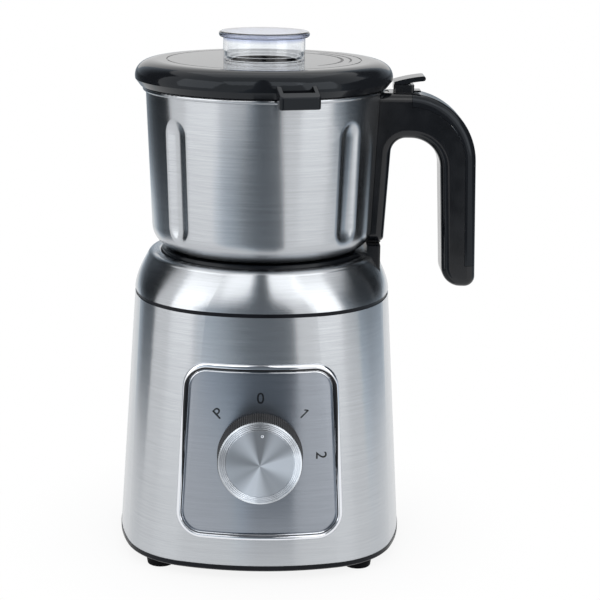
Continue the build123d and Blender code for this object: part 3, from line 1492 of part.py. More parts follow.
with BuildPart() as lid_cover:
    with BuildSketch(Plane.XZ):
        lid_profile(0)
    revolve(axis=Axis.Z)
    with BuildSketch(loop_plane):
        arm_root = lid_radius - lid_wall / 2
        bar_low = lid_bottom - loop_bar_drop
        bar_high = bar_low + loop_bar_height
        Polygon((arm_root, lid_wide), (arm_root, loop_arm_level + lid_bottom), (loop_reach, bar_high),
                (loop_reach, bar_low), (loop_reach - loop_bar, bar_low), align=None)
    extrude(amount=loop_half_width, both=True)
    upright = lid_cover.edges().filter_by(Axis.Z)
    fillet(upright.group_by(lambda edge: edge.center().rotate(Axis.Z, -loop_angle).X)[-1], loop_round)
    front = lid_cover.faces().sort_by(lambda face: face.center().rotate(Axis.Z, -loop_angle).X)[-1]
    fillet(front.edges().filter_by(lambda edge: abs(edge.tangent_at(0.5).Z) < 0.5), loop_edge)
    with BuildSketch(loop_plane):
        Polygon((arm_root - loop_bar, bar_low - 1), (arm_root - loop_bar, lid_top),
                (loop_reach - loop_bar, lid_top), (loop_reach - loop_bar, bar_low - 1), align=None)
    extrude(amount=loop_half_width - loop_arm, both=True, mode=Mode.SUBTRACT)
    with BuildSketch(Plane.XZ):
        lid_profile(0)
    revolve(axis=Axis.Z)
    with BuildSketch(Plane.XZ):
        lid_profile(lid_wall)
    revolve(axis=Axis.Z, mode=Mode.SUBTRACT)
    with BuildSketch(Plane.XY.offset(lid_top)):
        Circle(lid_seam_radius + lid_seam_width / 2)
        Circle(lid_seam_radius - lid_seam_width / 2, mode=Mode.SUBTRACT)
    extrude(amount=-lid_seam_depth, mode=Mode.SUBTRACT)
    with Locations((0, 0, lid_top - 2 * lid_wall)):
        post(hole_radius, 3 * lid_wall, mode=Mode.SUBTRACT)
lid_cover.part.label = "lid_cover"
export_step(lid_cover.part, "parts/lid_cover.step")

lid_inner_foot = lid_foot_radius - lid_wall - seat_gap
with BuildPart() as lid_plate:
    with Locations((0, 0, plug_bottom)):
        post(plug_radius, plug_depth + plug_wall)
    with Locations((0, 0, lid_bottom)):
        post(lid_inner_foot, plug_wall)
    with Locations((0, 0, plug_bottom + plug_wall)):
        post(plug_radius - plug_wall - seal_groove_depth, plug_depth, mode=Mode.SUBTRACT)
    with Locations((0, 0, plug_bottom)):
        post(hole_radius + chimney_wall, lid_top - lid_wall - plug_bottom)
        post(hole_radius, lid_top - lid_wall - plug_bottom, mode=Mode.SUBTRACT)
    with BuildSketch(Plane.XY.offset(seal_level_low - running_gap)):
        Circle(plug_radius + 1)
        Circle(plug_radius - seal_groove_depth, mode=Mode.SUBTRACT)
    extrude(amount=seal_section + 2 * running_gap, mode=Mode.SUBTRACT)
lid_plate.part.label = "lid_plate"
export_step(lid_plate.part, "parts/lid_plate.step")

seal_outer = bowl_radius(seal_level_low) - bowl_wall - running_gap
with BuildPart() as lid_seal:
    with BuildSketch(Plane.XY.offset(seal_level_low)):
        Circle(seal_outer)
        Circle(plug_radius - seal_groove_depth + running_gap, mode=Mode.SUBTRACT)
    extrude(amount=seal_section)
lid_seal.part.label = "lid_seal"
export_step(lid_seal.part, "parts/lid_seal.step")

# Clear feeder cap: a cup turned over, its narrower lower part in the lid's chimney
cap_plug_radius = hole_radius - cap_plug_gap
cap_flange_level = cap_top - cap_flange_thickness
with BuildPart() as feeder_cap:
    with Locations((0, 0, cap_bottom - cap_plug_depth)):
        post(cap_plug_radius, cap_plug_depth)
    with Locations((0, 0, cap_bottom)):
        post(cap_tube_radius, cap_height)
    with Locations((0, 0, cap_flange_level)):
        post(cap_flange_radius, cap_flange_thickness)
    flange_rims = feeder_cap.edges().filter_by(GeomType.CIRCLE).filter_by(
        lambda edge: edge.radius > cap_flange_radius - seat_gap)
    fillet(flange_rims, cap_flange_round)
    with Locations((0, 0, cap_bottom - cap_plug_depth)):
        post(cap_plug_radius - cap_wall, cap_plug_depth + cap_wall, mode=Mode.SUBTRACT)
    with Locations((0, 0, cap_bottom + cap_wall)):
        post(cap_tube_radius - cap_wall, cap_flange_level - cap_bottom - cap_wall, mode=Mode.SUBTRACT)
feeder_cap.part.label = "feeder_cap"
export_step(feeder_cap.part, "parts/feeder_cap.step")
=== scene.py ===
# %% [markdown]
# # A grinding mill for the kitchen counter
#
# The mill is a steel motor base with a rotary switch, and on it a steel bowl with a handle and a
# black lid. Its solids were made beforehand, each at its real size, and they are loaded here as a
# fixed frame. They could be modelled again from nothing, but then nothing would be sure to fit. So
# the lesson dresses them where they stand: first the camera and the light, then one finish after
# another, then the few pieces that are better modelled again as smooth shells. Everything is in
# metres, and the shaping sizes are in millimetres.
# %% Load the solids and note their box
import bpy
import json
import math
from mathutils import Matrix, Vector


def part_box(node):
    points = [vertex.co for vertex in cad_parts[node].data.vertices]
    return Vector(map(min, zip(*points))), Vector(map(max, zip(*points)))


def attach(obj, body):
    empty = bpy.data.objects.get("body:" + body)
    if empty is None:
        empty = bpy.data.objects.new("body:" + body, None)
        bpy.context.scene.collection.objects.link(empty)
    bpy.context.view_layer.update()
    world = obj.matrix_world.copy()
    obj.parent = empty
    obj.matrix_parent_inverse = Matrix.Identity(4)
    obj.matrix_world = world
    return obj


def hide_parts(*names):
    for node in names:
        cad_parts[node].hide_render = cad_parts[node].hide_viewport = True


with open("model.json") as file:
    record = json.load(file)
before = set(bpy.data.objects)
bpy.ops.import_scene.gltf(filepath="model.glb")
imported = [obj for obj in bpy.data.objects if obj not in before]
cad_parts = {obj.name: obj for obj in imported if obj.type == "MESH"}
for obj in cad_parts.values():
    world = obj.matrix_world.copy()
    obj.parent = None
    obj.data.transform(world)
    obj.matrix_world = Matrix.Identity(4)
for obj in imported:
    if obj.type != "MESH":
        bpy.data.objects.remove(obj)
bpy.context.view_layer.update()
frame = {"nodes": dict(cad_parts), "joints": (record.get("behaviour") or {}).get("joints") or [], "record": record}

MM = 0.001

# %% [markdown]
# ## The camera
#
# The photograph was taken from in front and a little above. A camera can be pushed about until the
# picture looks right. Here its place was worked out instead, from the round rims of the bowl and
# the lid, whose ellipses grow rounder as the camera rises, so that outlines can be compared point
# by point. The lens is long, and the upright edges hardly converge. The picture was cropped to one
# side, which a small shift of the lens repeats, and the mill leans by less than one degree in it.
# %% Place the camera
CAMERA_HEIGHT, CAMERA_DISTANCE = 0.351, 0.930
LOOKING_DOWN = math.radians(13.6)
PICTURE_LEAN = math.radians(0.60)
SENSOR_WIDTH, FOCAL_LENGTH, CROP_SHIFT = 36, 105.96, 0.0640

lens = bpy.data.cameras.new("counter_camera")
lens.sensor_width = SENSOR_WIDTH
lens.lens = FOCAL_LENGTH
lens.shift_x = CROP_SHIFT
camera = bpy.data.objects.new("counter_camera", lens)
bpy.context.scene.collection.objects.link(camera)
aim = (Matrix.Rotation(math.pi / 2 - LOOKING_DOWN, 4, "X")
       @ Matrix.Rotation(PICTURE_LEAN, 4, "Z"))
camera.matrix_world = Matrix.Translation((0, -CAMERA_DISTANCE, CAMERA_HEIGHT)) @ aim
bpy.context.scene.camera = camera
bpy.context.scene.view_settings.view_transform = "Standard"
print("camera at", [round(value, 3) for value in camera.location])

# %% [markdown]
# ## The white room
#
# A product picture has a white background, and steel and gloss plastic mirror what stands round
# them. The simplest white room is a white world, but it lights the mill so evenly that its forms
# go flat. So the world is white for every ray that sees it, straight, in a mirror or through the
# clear cap, and dimmer for the rays that only bring light to a surface.
# %% The room's white
ROOM_LIGHT = 0.72


def plug(tree, value, socket):
    """Gives a socket its value: another node's output is wired up, and anything else is set."""
    if isinstance(value, bpy.types.NodeSocket):
        tree.links.new(value, socket)
    else:
        socket.default_value = value


def calculate(tree, operation, *values):
    """The result of a math node with these values."""
    node = tree.nodes.new("ShaderNodeMath")
    node.operation = operation
    for value, socket in zip(values, node.inputs):
        plug(tree, value, socket)
    return node.outputs[0]


def seen_directly(tree):
    """1 for a ray from the camera, from a gloss or through glass, 0 for one that only lights."""
    path = tree.nodes.new("ShaderNodeLightPath").outputs
    total = calculate(tree, "MAXIMUM", path["Is Camera Ray"], path["Is Glossy Ray"])
    return calculate(tree, "MAXIMUM", total, path["Is Transmission Ray"])


world = bpy.data.worlds.new("white_room")
bpy.context.scene.world = world
world.use_nodes = True
room = world.node_tree.nodes.new("ShaderNodeMapRange")
plug(world.node_tree, seen_directly(world.node_tree), room.inputs["Value"])
room.inputs["To Min"].default_value = ROOM_LIGHT
sky = world.node_tree.nodes["Background"]
sky.inputs["Color"].default_value = (1, 1, 1, 1)
plug(world.node_tree, room.outputs[0], sky.inputs["Strength"])
print("the room lights with", ROOM_LIGHT, "of its white")

# %% [markdown]
# ## The counter
#
# The mill stands on a pale surface that can't be told from the background, apart from a soft shade
# round its foot. The shade could be rendered apart and laid over white. One material does it here:
# most of what shows is plain white light, the rest is paint that takes the shade, and further out
# the paint fades away. The two helpers for materials serve every finish after this one.
# %% Two helpers and the counter's paint
def new_finish(name, colour, metallic, roughness):
    """A material with its main shader set, and that shader."""
    finish = bpy.data.materials.new(name)
    finish.use_nodes = True
    shader = finish.node_tree.nodes["Principled BSDF"]
    shader.inputs["Base Color"].default_value = (*colour, 1)
    shader.inputs["Metallic"].default_value = metallic
    shader.inputs["Roughness"].default_value = roughness
    return finish, shader


def add_node(finish, kind, settings=None, **sockets):
    """Adds a node. A socket takes a number, a vector or another node's output."""
    node = finish.node_tree.nodes.new(kind)
    for name, value in (settings or {}).items():
        setattr(node, name, value)
    for name, value in sockets.items():
        plug(finish.node_tree, value, node.inputs[name.replace("_", " ")])
    return node


counter, paint = new_finish("pale_counter", (0.86, 0.86, 0.87), 0, 0.6)
print("paint:", counter.name)

# %% The fade to white
FADE_START, FADE_END = 0.05, 0.16
WHITE_NEAR, WHITE_FAR = 0.86, 1.0

reach = add_node(counter, "ShaderNodeVectorMath", {"operation": "LENGTH"},
                 Vector=add_node(counter, "ShaderNodeTexCoord").outputs["Object"])
fade = add_node(counter, "ShaderNodeMapRange", {"interpolation_type": "SMOOTHSTEP"},
                Value=reach.outputs["Value"], From_Min=FADE_START, From_Max=FADE_END,
                To_Min=WHITE_NEAR, To_Max=WHITE_FAR)
white = add_node(counter, "ShaderNodeEmission", Color=(1, 1, 1, 1), Strength=1.0)
share = calculate(counter.node_tree, "MULTIPLY", fade.outputs[0],
                  seen_directly(counter.node_tree))
mixed = add_node(counter, "ShaderNodeMixShader")
for value, socket in zip((share, paint.outputs[0], white.outputs[0]), mixed.inputs):
    plug(counter.node_tree, value, socket)
plug(counter.node_tree, mixed.outputs[0],
     counter.node_tree.nodes["Material Output"].inputs["Surface"])
print("white from", FADE_END, "m outward")

# %% The floor
FLOOR_LEVEL = -5 * MM
FLOOR_RADIUS, FLOOR_SIDES = 6, 96


def ready():
    """Object mode with nothing selected, as every new piece starts."""
    if bpy.context.object and bpy.context.object.mode != "OBJECT":
        bpy.ops.object.mode_set(mode="OBJECT")
    bpy.ops.object.select_all(action="DESELECT")


ready()
bpy.ops.mesh.primitive_circle_add(vertices=FLOOR_SIDES, radius=FLOOR_RADIUS, fill_type="NGON",
                                  location=(0, 0, FLOOR_LEVEL))
floor = bpy.context.object
floor.name = "counter"
floor.data.materials.append(counter)
print("floor at", FLOOR_LEVEL)

# %% [markdown]
# ## The softboxes
#
# Steel shows its form by bright and dark bands, which are mirrored lamps and the gaps between
# them. Small lamps would leave hot spots, and a picture of a room can't be steered band by band.
# So the mill gets what a photographer uses: a large even lamp at each side in front, a broad one
# high in front, and one above the back that draws the light in the lid.
# %% Large even lamps
AIM_HEIGHT = 0.13


def softbox(name, turn, distance, height, width, tall, brightness):
    """An even lamp that looks at the mill. turn is in degrees from the front to the handle."""
    light = bpy.data.lights.new(name, "AREA")
    light.shape = "RECTANGLE"
    light.size = width
    light.size_y = tall
    light.energy = brightness * math.pi * width * tall
    lamp = bpy.data.objects.new(name, light)
    bpy.context.scene.collection.objects.link(lamp)
    angle = math.radians(turn)
    place = Vector((math.sin(angle) * distance, -math.cos(angle) * distance, height))
    facing = (Vector((0, 0, AIM_HEIGHT)) - place).to_track_quat("-Z", "Y")
    lamp.matrix_world = Matrix.Translation(place) @ facing.to_matrix().to_4x4()
    lamp.visible_camera = False


softbox("left_softbox", -60, 0.85, 0.50, 0.62, 0.75, 1.25)
softbox("right_softbox", 50, 0.85, 0.50, 0.50, 0.75, 1.3)
softbox("front_softbox", 0, 0.75, 0.90, 1.10, 0.50, 1.25)
softbox("top_softbox", 180, 0.30, 1.10, 0.80, 0.60, 0.6)
print("studio:", [item.name for item in bpy.data.lights])

# %% [markdown]
# ## The panels
#
# The dark bands are dark panels, mirrored in the steel. One stands in front of the mill, where the
# photographer is, a narrow one beside it for the handle, and one at each side from the middle to
# the back. Flat cards would draw straight bands of one width, but in the photograph a band's
# width and tone change with the height. So a panel is a curved strip of mesh: a short table gives
# its two edges and its brightness at some heights, a second one its tones from edge to edge, and
# its points carry the result as a colour. The panels are seen in reflections only, so they hide
# nothing from any side.
# %% Reading a table
def between(table, place):
    """Reads the numbers of a table of rows (place, number, ...) at this place."""
    for (low, *first), (high, *second) in zip(table, table[1:]):
        if place <= high:
            part = (place - low) / (high - low)
            return [a + (b - a) * part for a, b in zip(first, second)]
    return list(table[-1][1:])


print("half way from 1 to 3 the table says", between([(0, 1), (10, 3)], 5))

# %% The helper for panels
PANEL_STEPS_ACROSS, PANEL_STEPS_UP = 60, 30
PANEL_TINT = (0.84, 0.96, 1.08)


def shade(colour, factor):
    """The same colour, lighter or darker, up to 1."""
    return tuple(min(1.0, part * factor) for part in colour)


def glow_by_points(name):
    """A material that glows in the colours of the points."""
    paint = bpy.data.materials.new(name)
    paint.use_nodes = True
    tree = paint.node_tree
    tree.nodes.remove(tree.nodes["Principled BSDF"])
    tone = add_node(paint, "ShaderNodeVertexColor", {"layer_name": "tone"})
    glow = add_node(paint, "ShaderNodeEmission", Color=tone.outputs["Color"], Strength=1.0)
    plug(tree, glow.outputs[0], tree.nodes["Material Output"].inputs["Surface"])
    return paint


def panel_screen(name, distance, rows, tones):
    """A curved panel round the mill, seen in reflections only. A row of rows is (height, first
    angle, last angle, brightness), in metres and in degrees from the front. A row of tones is
    (share of the width, brightness)."""
    ready()
    bpy.ops.mesh.primitive_grid_add(x_subdivisions=PANEL_STEPS_ACROSS,
                                    y_subdivisions=PANEL_STEPS_UP, size=1)
    screen = bpy.context.object
    screen.name = name
    low, high = rows[0][0], rows[-1][0]
    layer = screen.data.color_attributes.new("tone", "FLOAT_COLOR", "POINT")
    for corner, tone in zip(screen.data.vertices, layer.data):
        part = corner.co.x + 0.5
        height = low + (high - low) * (corner.co.y + 0.5)
        start, end, bright = between(rows, height)
        angle = math.radians(start + (end - start) * part)
        corner.co = (math.sin(angle) * distance, -math.cos(angle) * distance, height)
        tone.color = (*shade(PANEL_TINT, bright * between(tones, part)[0]), 1)
    screen.data.materials.append(glow_by_points(name))
    for ray in ("camera", "diffuse", "shadow", "transmission", "volume_scatter"):
        setattr(screen, "visible_" + ray, False)
    print(name, "from", low, "to", high)


# %% The front panel and the handle's
FRONT_ROWS = [
    (FLOOR_LEVEL, -15, 15.5, 1.7), (0.03, -16, 16, 1.6), (0.08, -32, 21, 1.1),
    (0.145, -46, 18.5, 0.9), (0.175, -44, 17, 0.9), (0.20, -16, 10, 0.8),
    (0.26, -8, 6, 0.5), (0.8, -5, 4, 0.5),
]
FRONT_TONES = [(0, 0.80), (0.25, 0.50), (0.45, 0.20), (1, 0.17)]
panel_screen("front_panel", 0.21, FRONT_ROWS, FRONT_TONES)
panel_screen("handle_panel", 0.78, [(FLOOR_LEVEL, 7, 16, 1), (0.30, 7, 16, 1)],
             [(0, 0.08), (1, 0.08)])

# %% The panels at both sides
SIDE_DISTANCE = 0.40
LEFT_ROWS = [
    (FLOOR_LEVEL, -172, -98, 12), (0.07, -172, -98, 8), (0.12, -172, -98, 2),
    (0.15, -172, -98, 1), (0.26, -172, -98, 1), (0.28, -150, -98, 1), (0.60, -150, -98, 1),
]
LEFT_TONES = [(0, 0.6), (0.3, 0.25), (0.55, 0.06), (0.72, 0.025), (1, 0.025)]
RIGHT_ROWS = [
    (FLOOR_LEVEL, 66, 172, 18), (0.07, 66, 172, 14), (0.12, 66, 172, 4), (0.15, 66, 172, 1),
    (0.26, 66, 172, 1), (0.28, 66, 150, 1), (0.36, 66, 150, 1), (0.44, 104, 160, 1),
    (0.60, 112, 160, 1),
]
RIGHT_TONES = [(0, 0.50), (0.06, 0.24), (0.17, 0.06), (0.32, 0.04), (0.6, 0.04), (0.8, 0.25),
               (1, 0.6)]
panel_screen("left_panel", SIDE_DISTANCE, LEFT_ROWS, LEFT_TONES)
panel_screen("right_panel", SIDE_DISTANCE, RIGHT_ROWS, RIGHT_TONES)

# %% [markdown]
# ## Brushed steel
#
# The housing, the shoulder and the bowl are brushed round and round, so the scratches run level
# and a highlight spreads upright, across them. Real scratches are far too fine to model. The
# shader's anisotropy spreads the highlight once it is given an upright direction, and level
# streaks in the colour, the roughness and the relief show the brush itself. They are made from
# noise that is stretched far along X and Y and hardly along Z. Noise from the piece's own
# coordinates goes along when a piece moves, and needs no unwrapping.
# %% Helpers for patterns
NOISE_LOW, NOISE_HIGH = 0.3, 0.7


def object_pattern(finish, scale, centre=(0, 0, 0)):
    """Object coordinates, centred and stretched for a pattern."""
    place = add_node(finish, "ShaderNodeTexCoord").outputs["Object"]
    moved = add_node(finish, "ShaderNodeVectorMath", {"operation": "SUBTRACT"})
    for value, socket in zip((place, centre), moved.inputs):
        plug(finish.node_tree, value, socket)
    return add_node(finish, "ShaderNodeMapping", Vector=moved.outputs[0], Scale=scale).outputs[0]


def spread_value(finish, value, low, high):
    """Turns noise, which mostly lies between two values, into the range from low to high."""
    return add_node(finish, "ShaderNodeMapRange", Value=value, From_Min=NOISE_LOW,
                    From_Max=NOISE_HIGH, To_Min=low, To_Max=high).outputs[0]


def tint(finish, shader, value, dark, light):
    """Lets a pattern move the colour between a darker and a lighter one."""
    blend = add_node(finish, "ShaderNodeMix", {"data_type": "RGBA"})
    plug(finish.node_tree, value, blend.inputs[0])
    blend.inputs[6].default_value = (*dark, 1)
    blend.inputs[7].default_value = (*light, 1)
    plug(finish.node_tree, blend.outputs[2], shader.inputs["Base Color"])


def relief(finish, shader, height, depth, strength):
    """A bump of this depth in metres."""
    bump = add_node(finish, "ShaderNodeBump", Height=height, Distance=depth, Strength=strength)
    plug(finish.node_tree, bump.outputs[0], shader.inputs["Normal"])


print("noise is read from", NOISE_LOW, "to", NOISE_HIGH)

# %% The brushed steels
BRUSH_ALONG, SHEEN_ALONG, SHEEN_COARSER = 45, 9, 4
BRUSH_SHARE, SHEEN_SHARE = 0.8, 0.2
BRUSH_DARK, BRUSH_LIGHT = 0.92, 1.06
BRUSH_SMOOTHER, BRUSH_ROUGHER = 0.01, 0.015
BRUSH_DEPTH = 0.0000002
finishes = {}


def brushed_steel(name, colour, roughness, streaks, spread):
    """Level brush lines, streaks to the metre along Z. spread is the anisotropy."""
    finish, shader = new_finish(name, colour, 1.0, roughness)
    tree = finish.node_tree
    fine = add_node(finish, "ShaderNodeTexNoise", Scale=1.0, Detail=2.0, Roughness=0.6,
                    Vector=object_pattern(finish, (BRUSH_ALONG, BRUSH_ALONG, streaks)))
    broad = add_node(
        finish, "ShaderNodeTexNoise", Scale=1.0, Detail=1.0,
        Vector=object_pattern(finish, (SHEEN_ALONG, SHEEN_ALONG, streaks / SHEEN_COARSER)))
    brush = calculate(tree, "MULTIPLY", fine.outputs["Fac"], BRUSH_SHARE)
    both = calculate(tree, "MULTIPLY_ADD", broad.outputs["Fac"], SHEEN_SHARE, brush)
    tint(finish, shader, spread_value(finish, both, 0, 1),
         shade(colour, BRUSH_DARK), shade(colour, BRUSH_LIGHT))
    rough = spread_value(finish, both, roughness - BRUSH_SMOOTHER, roughness + BRUSH_ROUGHER)
    plug(tree, rough, shader.inputs["Roughness"])
    relief(finish, shader, fine.outputs["Fac"], BRUSH_DEPTH, 0.2)
    upright = add_node(finish, "ShaderNodeCombineXYZ", Z=1.0)
    plug(tree, upright.outputs[0], shader.inputs["Tangent"])
    shader.inputs["Anisotropic"].default_value = spread
    finishes[name] = finish


brushed_steel("brushed_steel", (0.50, 0.52, 0.545), 0.24, 3200, 0.88)
brushed_steel("panel_metal", (0.31, 0.335, 0.375), 0.25, 3600, 0.85)
print("steels:", list(finishes))

# %% [markdown]
# ## Turned metal
#
# Screws, shafts and the knob's face come off a lathe, which leaves fine rings round the axis. A
# ring texture would show evenly spaced circles, so the rings are noise of the distance from the
# axis alone. The knob's face also has the bright and dark wedges of spun metal. They are a painted
# reflection: a slow noise of the heading paints the colour lighter and darker in wedges, and
# anisotropy with its direction outward spreads the real highlights across the rings.
# The copper windings take the rings for their wire.
# %% Turned metal
RING_DEPTH = 0.0002
# Painted reflection of spun metal: the scale of the heading's noise, and how much darker and lighter it paints the
# colour.
PAINTED_WEDGE_NOISE, PAINTED_WEDGE_SHADE, PAINTED_WEDGE_SHEEN = 1.5, 0.45, 1.3
ORIGIN = (0, 0, 0)
ALONG_Y, ALONG_Z = 1, 2


def painted_wedge_sheen(finish, shader, across, colour, spread):
    """Bright and dark wedge shapes painted into the colour round the axis, a painted reflection of spun metal. The
    outward anisotropy spreads the real highlights.
    """
    heading = add_node(finish, "ShaderNodeVectorMath", {"operation": "NORMALIZE"}, Vector=across)
    noise = add_node(finish, "ShaderNodeTexNoise", Scale=PAINTED_WEDGE_NOISE, Detail=0.0,
                     Vector=heading.outputs["Vector"])
    # Painted reflection: the colour is made lighter and darker in wedges round the axis.
    tint(finish, shader, spread_value(finish, noise.outputs["Fac"], 0, 1),
         shade(colour, PAINTED_WEDGE_SHADE), shade(colour, PAINTED_WEDGE_SHEEN))
    outward = add_node(finish, "ShaderNodeVectorTransform",
                       {"vector_type": "VECTOR", "convert_from": "OBJECT",
                        "convert_to": "WORLD"}, Vector=across)
    plug(finish.node_tree, outward.outputs[0], shader.inputs["Tangent"])
    shader.inputs["Anisotropic"].default_value = spread


def turned_metal(name, colour, metallic, roughness, centre, axis, rings, contrast=0.15,
                 spread=0.0):
    """Rings round the axis with this number, through the centre in millimetres."""
    finish, shader = new_finish(name, colour, metallic, roughness)
    flat = [1.0, 1.0, 1.0]
    flat[axis] = 0.0
    across = object_pattern(finish, flat, [part * MM for part in centre])
    radius = add_node(finish, "ShaderNodeVectorMath", {"operation": "LENGTH"}, Vector=across)
    sample = add_node(finish, "ShaderNodeCombineXYZ", X=radius.outputs["Value"])
    noise = add_node(finish, "ShaderNodeTexNoise", Scale=rings, Detail=2.0,
                     Vector=sample.outputs[0]).outputs["Fac"]
    rough = spread_value(finish, noise, roughness * 0.85, roughness * 1.2)
    plug(finish.node_tree, rough, shader.inputs["Roughness"])
    relief(finish, shader, noise, RING_DEPTH * contrast, 0.4)
    if spread:
        painted_wedge_sheen(finish, shader, across, colour, spread)
    else:
        tint(finish, shader, spread_value(finish, noise, 0, 1),
             shade(colour, 1 - contrast), shade(colour, 1 + contrast))
    finishes[name] = finish


knob_joint = next(joint for joint in frame["joints"] if joint["name"] == "knob_turn")
KNOB_CENTRE = Vector(knob_joint["pos_m"]) / MM
turned_metal("spun_metal", (0.66, 0.70, 0.75), 0.7, 0.20, KNOB_CENTRE, ALONG_Y, 2600, 0.04, 0.85)
turned_metal("turned_steel", (0.52, 0.53, 0.56), 1.0, 0.30, ORIGIN, ALONG_Z, 900)
turned_metal("copper", (0.80, 0.40, 0.22), 1.0, 0.32, ORIGIN, ALONG_Z, 1400)
print("turned:", list(finishes)[-3:])

# %% [markdown]
# ## Mouldings, castings and sheet
#
# Everything else is moulded, cast, rolled or polished, and its surface differs in grain alone: a
# soft noise in colour, roughness and relief. A photograph of each surface could be wrapped round
# the piece, but noise has no seam and any size. Chrome is polished until hardly a grain is left.
# Gloss black is nearly a mirror, so it needs little roughness and only the faintest waviness. The
# collar, the lid's plate and the handle's inner half are satin, the cover under the housing is
# duller, and rubber duller still. None is quite black, because a moulding never is.
# %% The helper for grained surfaces
WEAR_COARSER = 25


def grained(name, colour, metallic, roughness, grain, depth, contrast=0.12, gloss=0.5):
    """A moulded, cast or rolled surface. grain is per metre, depth is in metres, and gloss is how
    strongly a moulding mirrors."""
    finish, shader = new_finish(name, colour, metallic, roughness)
    shader.inputs["Specular IOR Level"].default_value = gloss
    place = object_pattern(finish, (1, 1, 1))
    fine = add_node(finish, "ShaderNodeTexNoise", Scale=grain, Detail=3.0, Vector=place)
    wear = add_node(finish, "ShaderNodeTexNoise", Scale=grain / WEAR_COARSER, Detail=2.0,
                    Vector=place)
    tint(finish, shader, spread_value(finish, wear.outputs["Fac"], 0, 1),
         shade(colour, 1 - contrast), shade(colour, 1 + contrast))
    rough = spread_value(finish, wear.outputs["Fac"], roughness * 0.85, roughness * 1.15)
    plug(finish.node_tree, rough, shader.inputs["Roughness"])
    relief(finish, shader, fine.outputs["Fac"], depth, 0.5)
    finishes[name] = finish
    return shader


grained("chrome_trim", (0.80, 0.82, 0.86), 1.0, 0.06, 300, 0.000002, 0.03)
grained("sheet_iron", (0.28, 0.28, 0.30), 1.0, 0.45, 900, 0.00004)
grained("cast_aluminium", (0.56, 0.57, 0.60), 1.0, 0.48, 1200, 0.00008)
print("metals:", len(finishes), "finishes so far")

# %% Plastics, rubber and the small inner finishes
COOL_MIRROR = (0.84, 0.92, 1, 1)
gloss_shader = grained("gloss_black", (0.008, 0.009, 0.011), 0.0, 0.09, 260, 0.000008, 0.2, 0.24)
gloss_shader.inputs["Specular Tint"].default_value = COOL_MIRROR
grained("satin_black", (0.005, 0.006, 0.008), 0.0, 0.15, 2600, 0.000004, 0.2, 0.40)
grained("charcoal", (0.005, 0.006, 0.009), 0.0, 0.34, 2600, 0.00002, 0.2, 0.15)
grained("rubber", (0.005, 0.005, 0.006), 0.0, 0.60, 1800, 0.00004, 0.25, 0.04)
grained("seal_rubber", (0.060, 0.060, 0.062), 0.0, 0.52, 1800, 0.00003, 0.2)
grained("carbon", (0.025, 0.025, 0.026), 0.0, 0.60, 2600, 0.00004, 0.2)
grained("moulded_grey", (0.20, 0.20, 0.21), 0.0, 0.45, 2200, 0.00002)
grained("board_green", (0.012, 0.11, 0.045), 0.0, 0.38, 1500, 0.00002, 0.25)
print("finishes:", len(finishes))

# %% [markdown]
# ## Clear plastic
#
# The feeder cap is moulded from clear plastic, and its thick flange looks bluish. A see-through
# colour would let the background show, but nothing would bend. Real walls, which the mesh has, and
# a refractive index of about 1.49 bend the light as the cap does. The tint follows the height, so
# that only the flange takes it, and a trace of roughness keeps the cap from looking like cut
# glass.
# %% The clear plastic
PLASTIC_INDEX = 1.49
FLANGE_START, FLANGE_END = 0.0055, 0.0035
CAP_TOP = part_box("feeder_cap")[1].z

clear, shader = new_finish("clear_plastic", (0.80, 0.83, 0.93), 0.0, 0.03)
shader.inputs["Transmission Weight"].default_value = 1.0
shader.inputs["IOR"].default_value = PLASTIC_INDEX
haze = add_node(clear, "ShaderNodeTexNoise", Scale=120.0, Detail=2.0,
                Vector=object_pattern(clear, (1, 1, 1)))
plug(clear.node_tree, spread_value(clear, haze.outputs["Fac"], 0.015, 0.05),
     shader.inputs["Roughness"])
level = add_node(clear, "ShaderNodeSeparateXYZ",
                 Vector=add_node(clear, "ShaderNodeTexCoord").outputs["Object"])
flange = add_node(clear, "ShaderNodeMapRange", Value=level.outputs["Z"],
                  From_Min=CAP_TOP - FLANGE_START, From_Max=CAP_TOP - FLANGE_END)
tint(clear, shader, flange.outputs[0], (0.94, 0.96, 0.98), (0.50, 0.55, 0.72))
finishes["clear_plastic"] = clear
print("the cap's top is at", round(CAP_TOP, 4))

# %% [markdown]
# ## Dressing the solids
#
# The frame's record names one finish for each solid. Giving them out by hand would go wrong with
# sixty names, so the record is read.
# %% Give every solid its finish
slot_of = {part["node"]: part["material_slot"] for part in frame["record"]["subparts"]}
for name, solid in frame["nodes"].items():
    solid.data.materials.clear()
    solid.data.materials.append(finishes[slot_of[name]])
print("dressed", len(slot_of), "solids")

# %% [markdown]
# ## Shells on a grid
#
# The bezel and the knob need finer forms than the solids have. Each is a flat grid whose columns
# run round the piece and whose rows run along its section. A screw modifier could turn the knob,
# but neither its knurl nor the bezel's rounded corners. Here a formula puts every point in its
# place, then the seam where the first and the last column meet is merged, and the faces are turned
# outward.
# %% Helpers for pieces on a grid
MERGE_DISTANCE = 1e-7
SMOOTH_ANGLE = math.radians(35)


def grid_piece(name, columns, rows, place):
    """A grid of this many columns and rows, with every point moved to place(column, row)."""
    ready()
    bpy.ops.mesh.primitive_grid_add(x_subdivisions=columns, y_subdivisions=rows, size=1)
    piece = bpy.context.object
    piece.name = name
    for corner in piece.data.vertices:
        column, row = ((corner.co.x + 0.5) * columns, (corner.co.y + 0.5) * rows)
        corner.co = place(round(column), round(row))
    return piece


def weld(fill_ends=False):
    """Merges the points that meet, closes open ends if asked, and turns the faces outward."""
    bpy.ops.object.mode_set(mode="EDIT")
    bpy.ops.mesh.select_all(action="SELECT")
    bpy.ops.mesh.remove_doubles(threshold=MERGE_DISTANCE)
    if fill_ends:
        bpy.ops.mesh.select_all(action="DESELECT")
        bpy.ops.mesh.select_non_manifold()
        bpy.ops.mesh.edge_face_add()
        bpy.ops.mesh.select_all(action="SELECT")
    bpy.ops.mesh.normals_make_consistent(inside=False)
    bpy.ops.object.mode_set(mode="OBJECT")


print("points closer than", MERGE_DISTANCE, "m are merged")

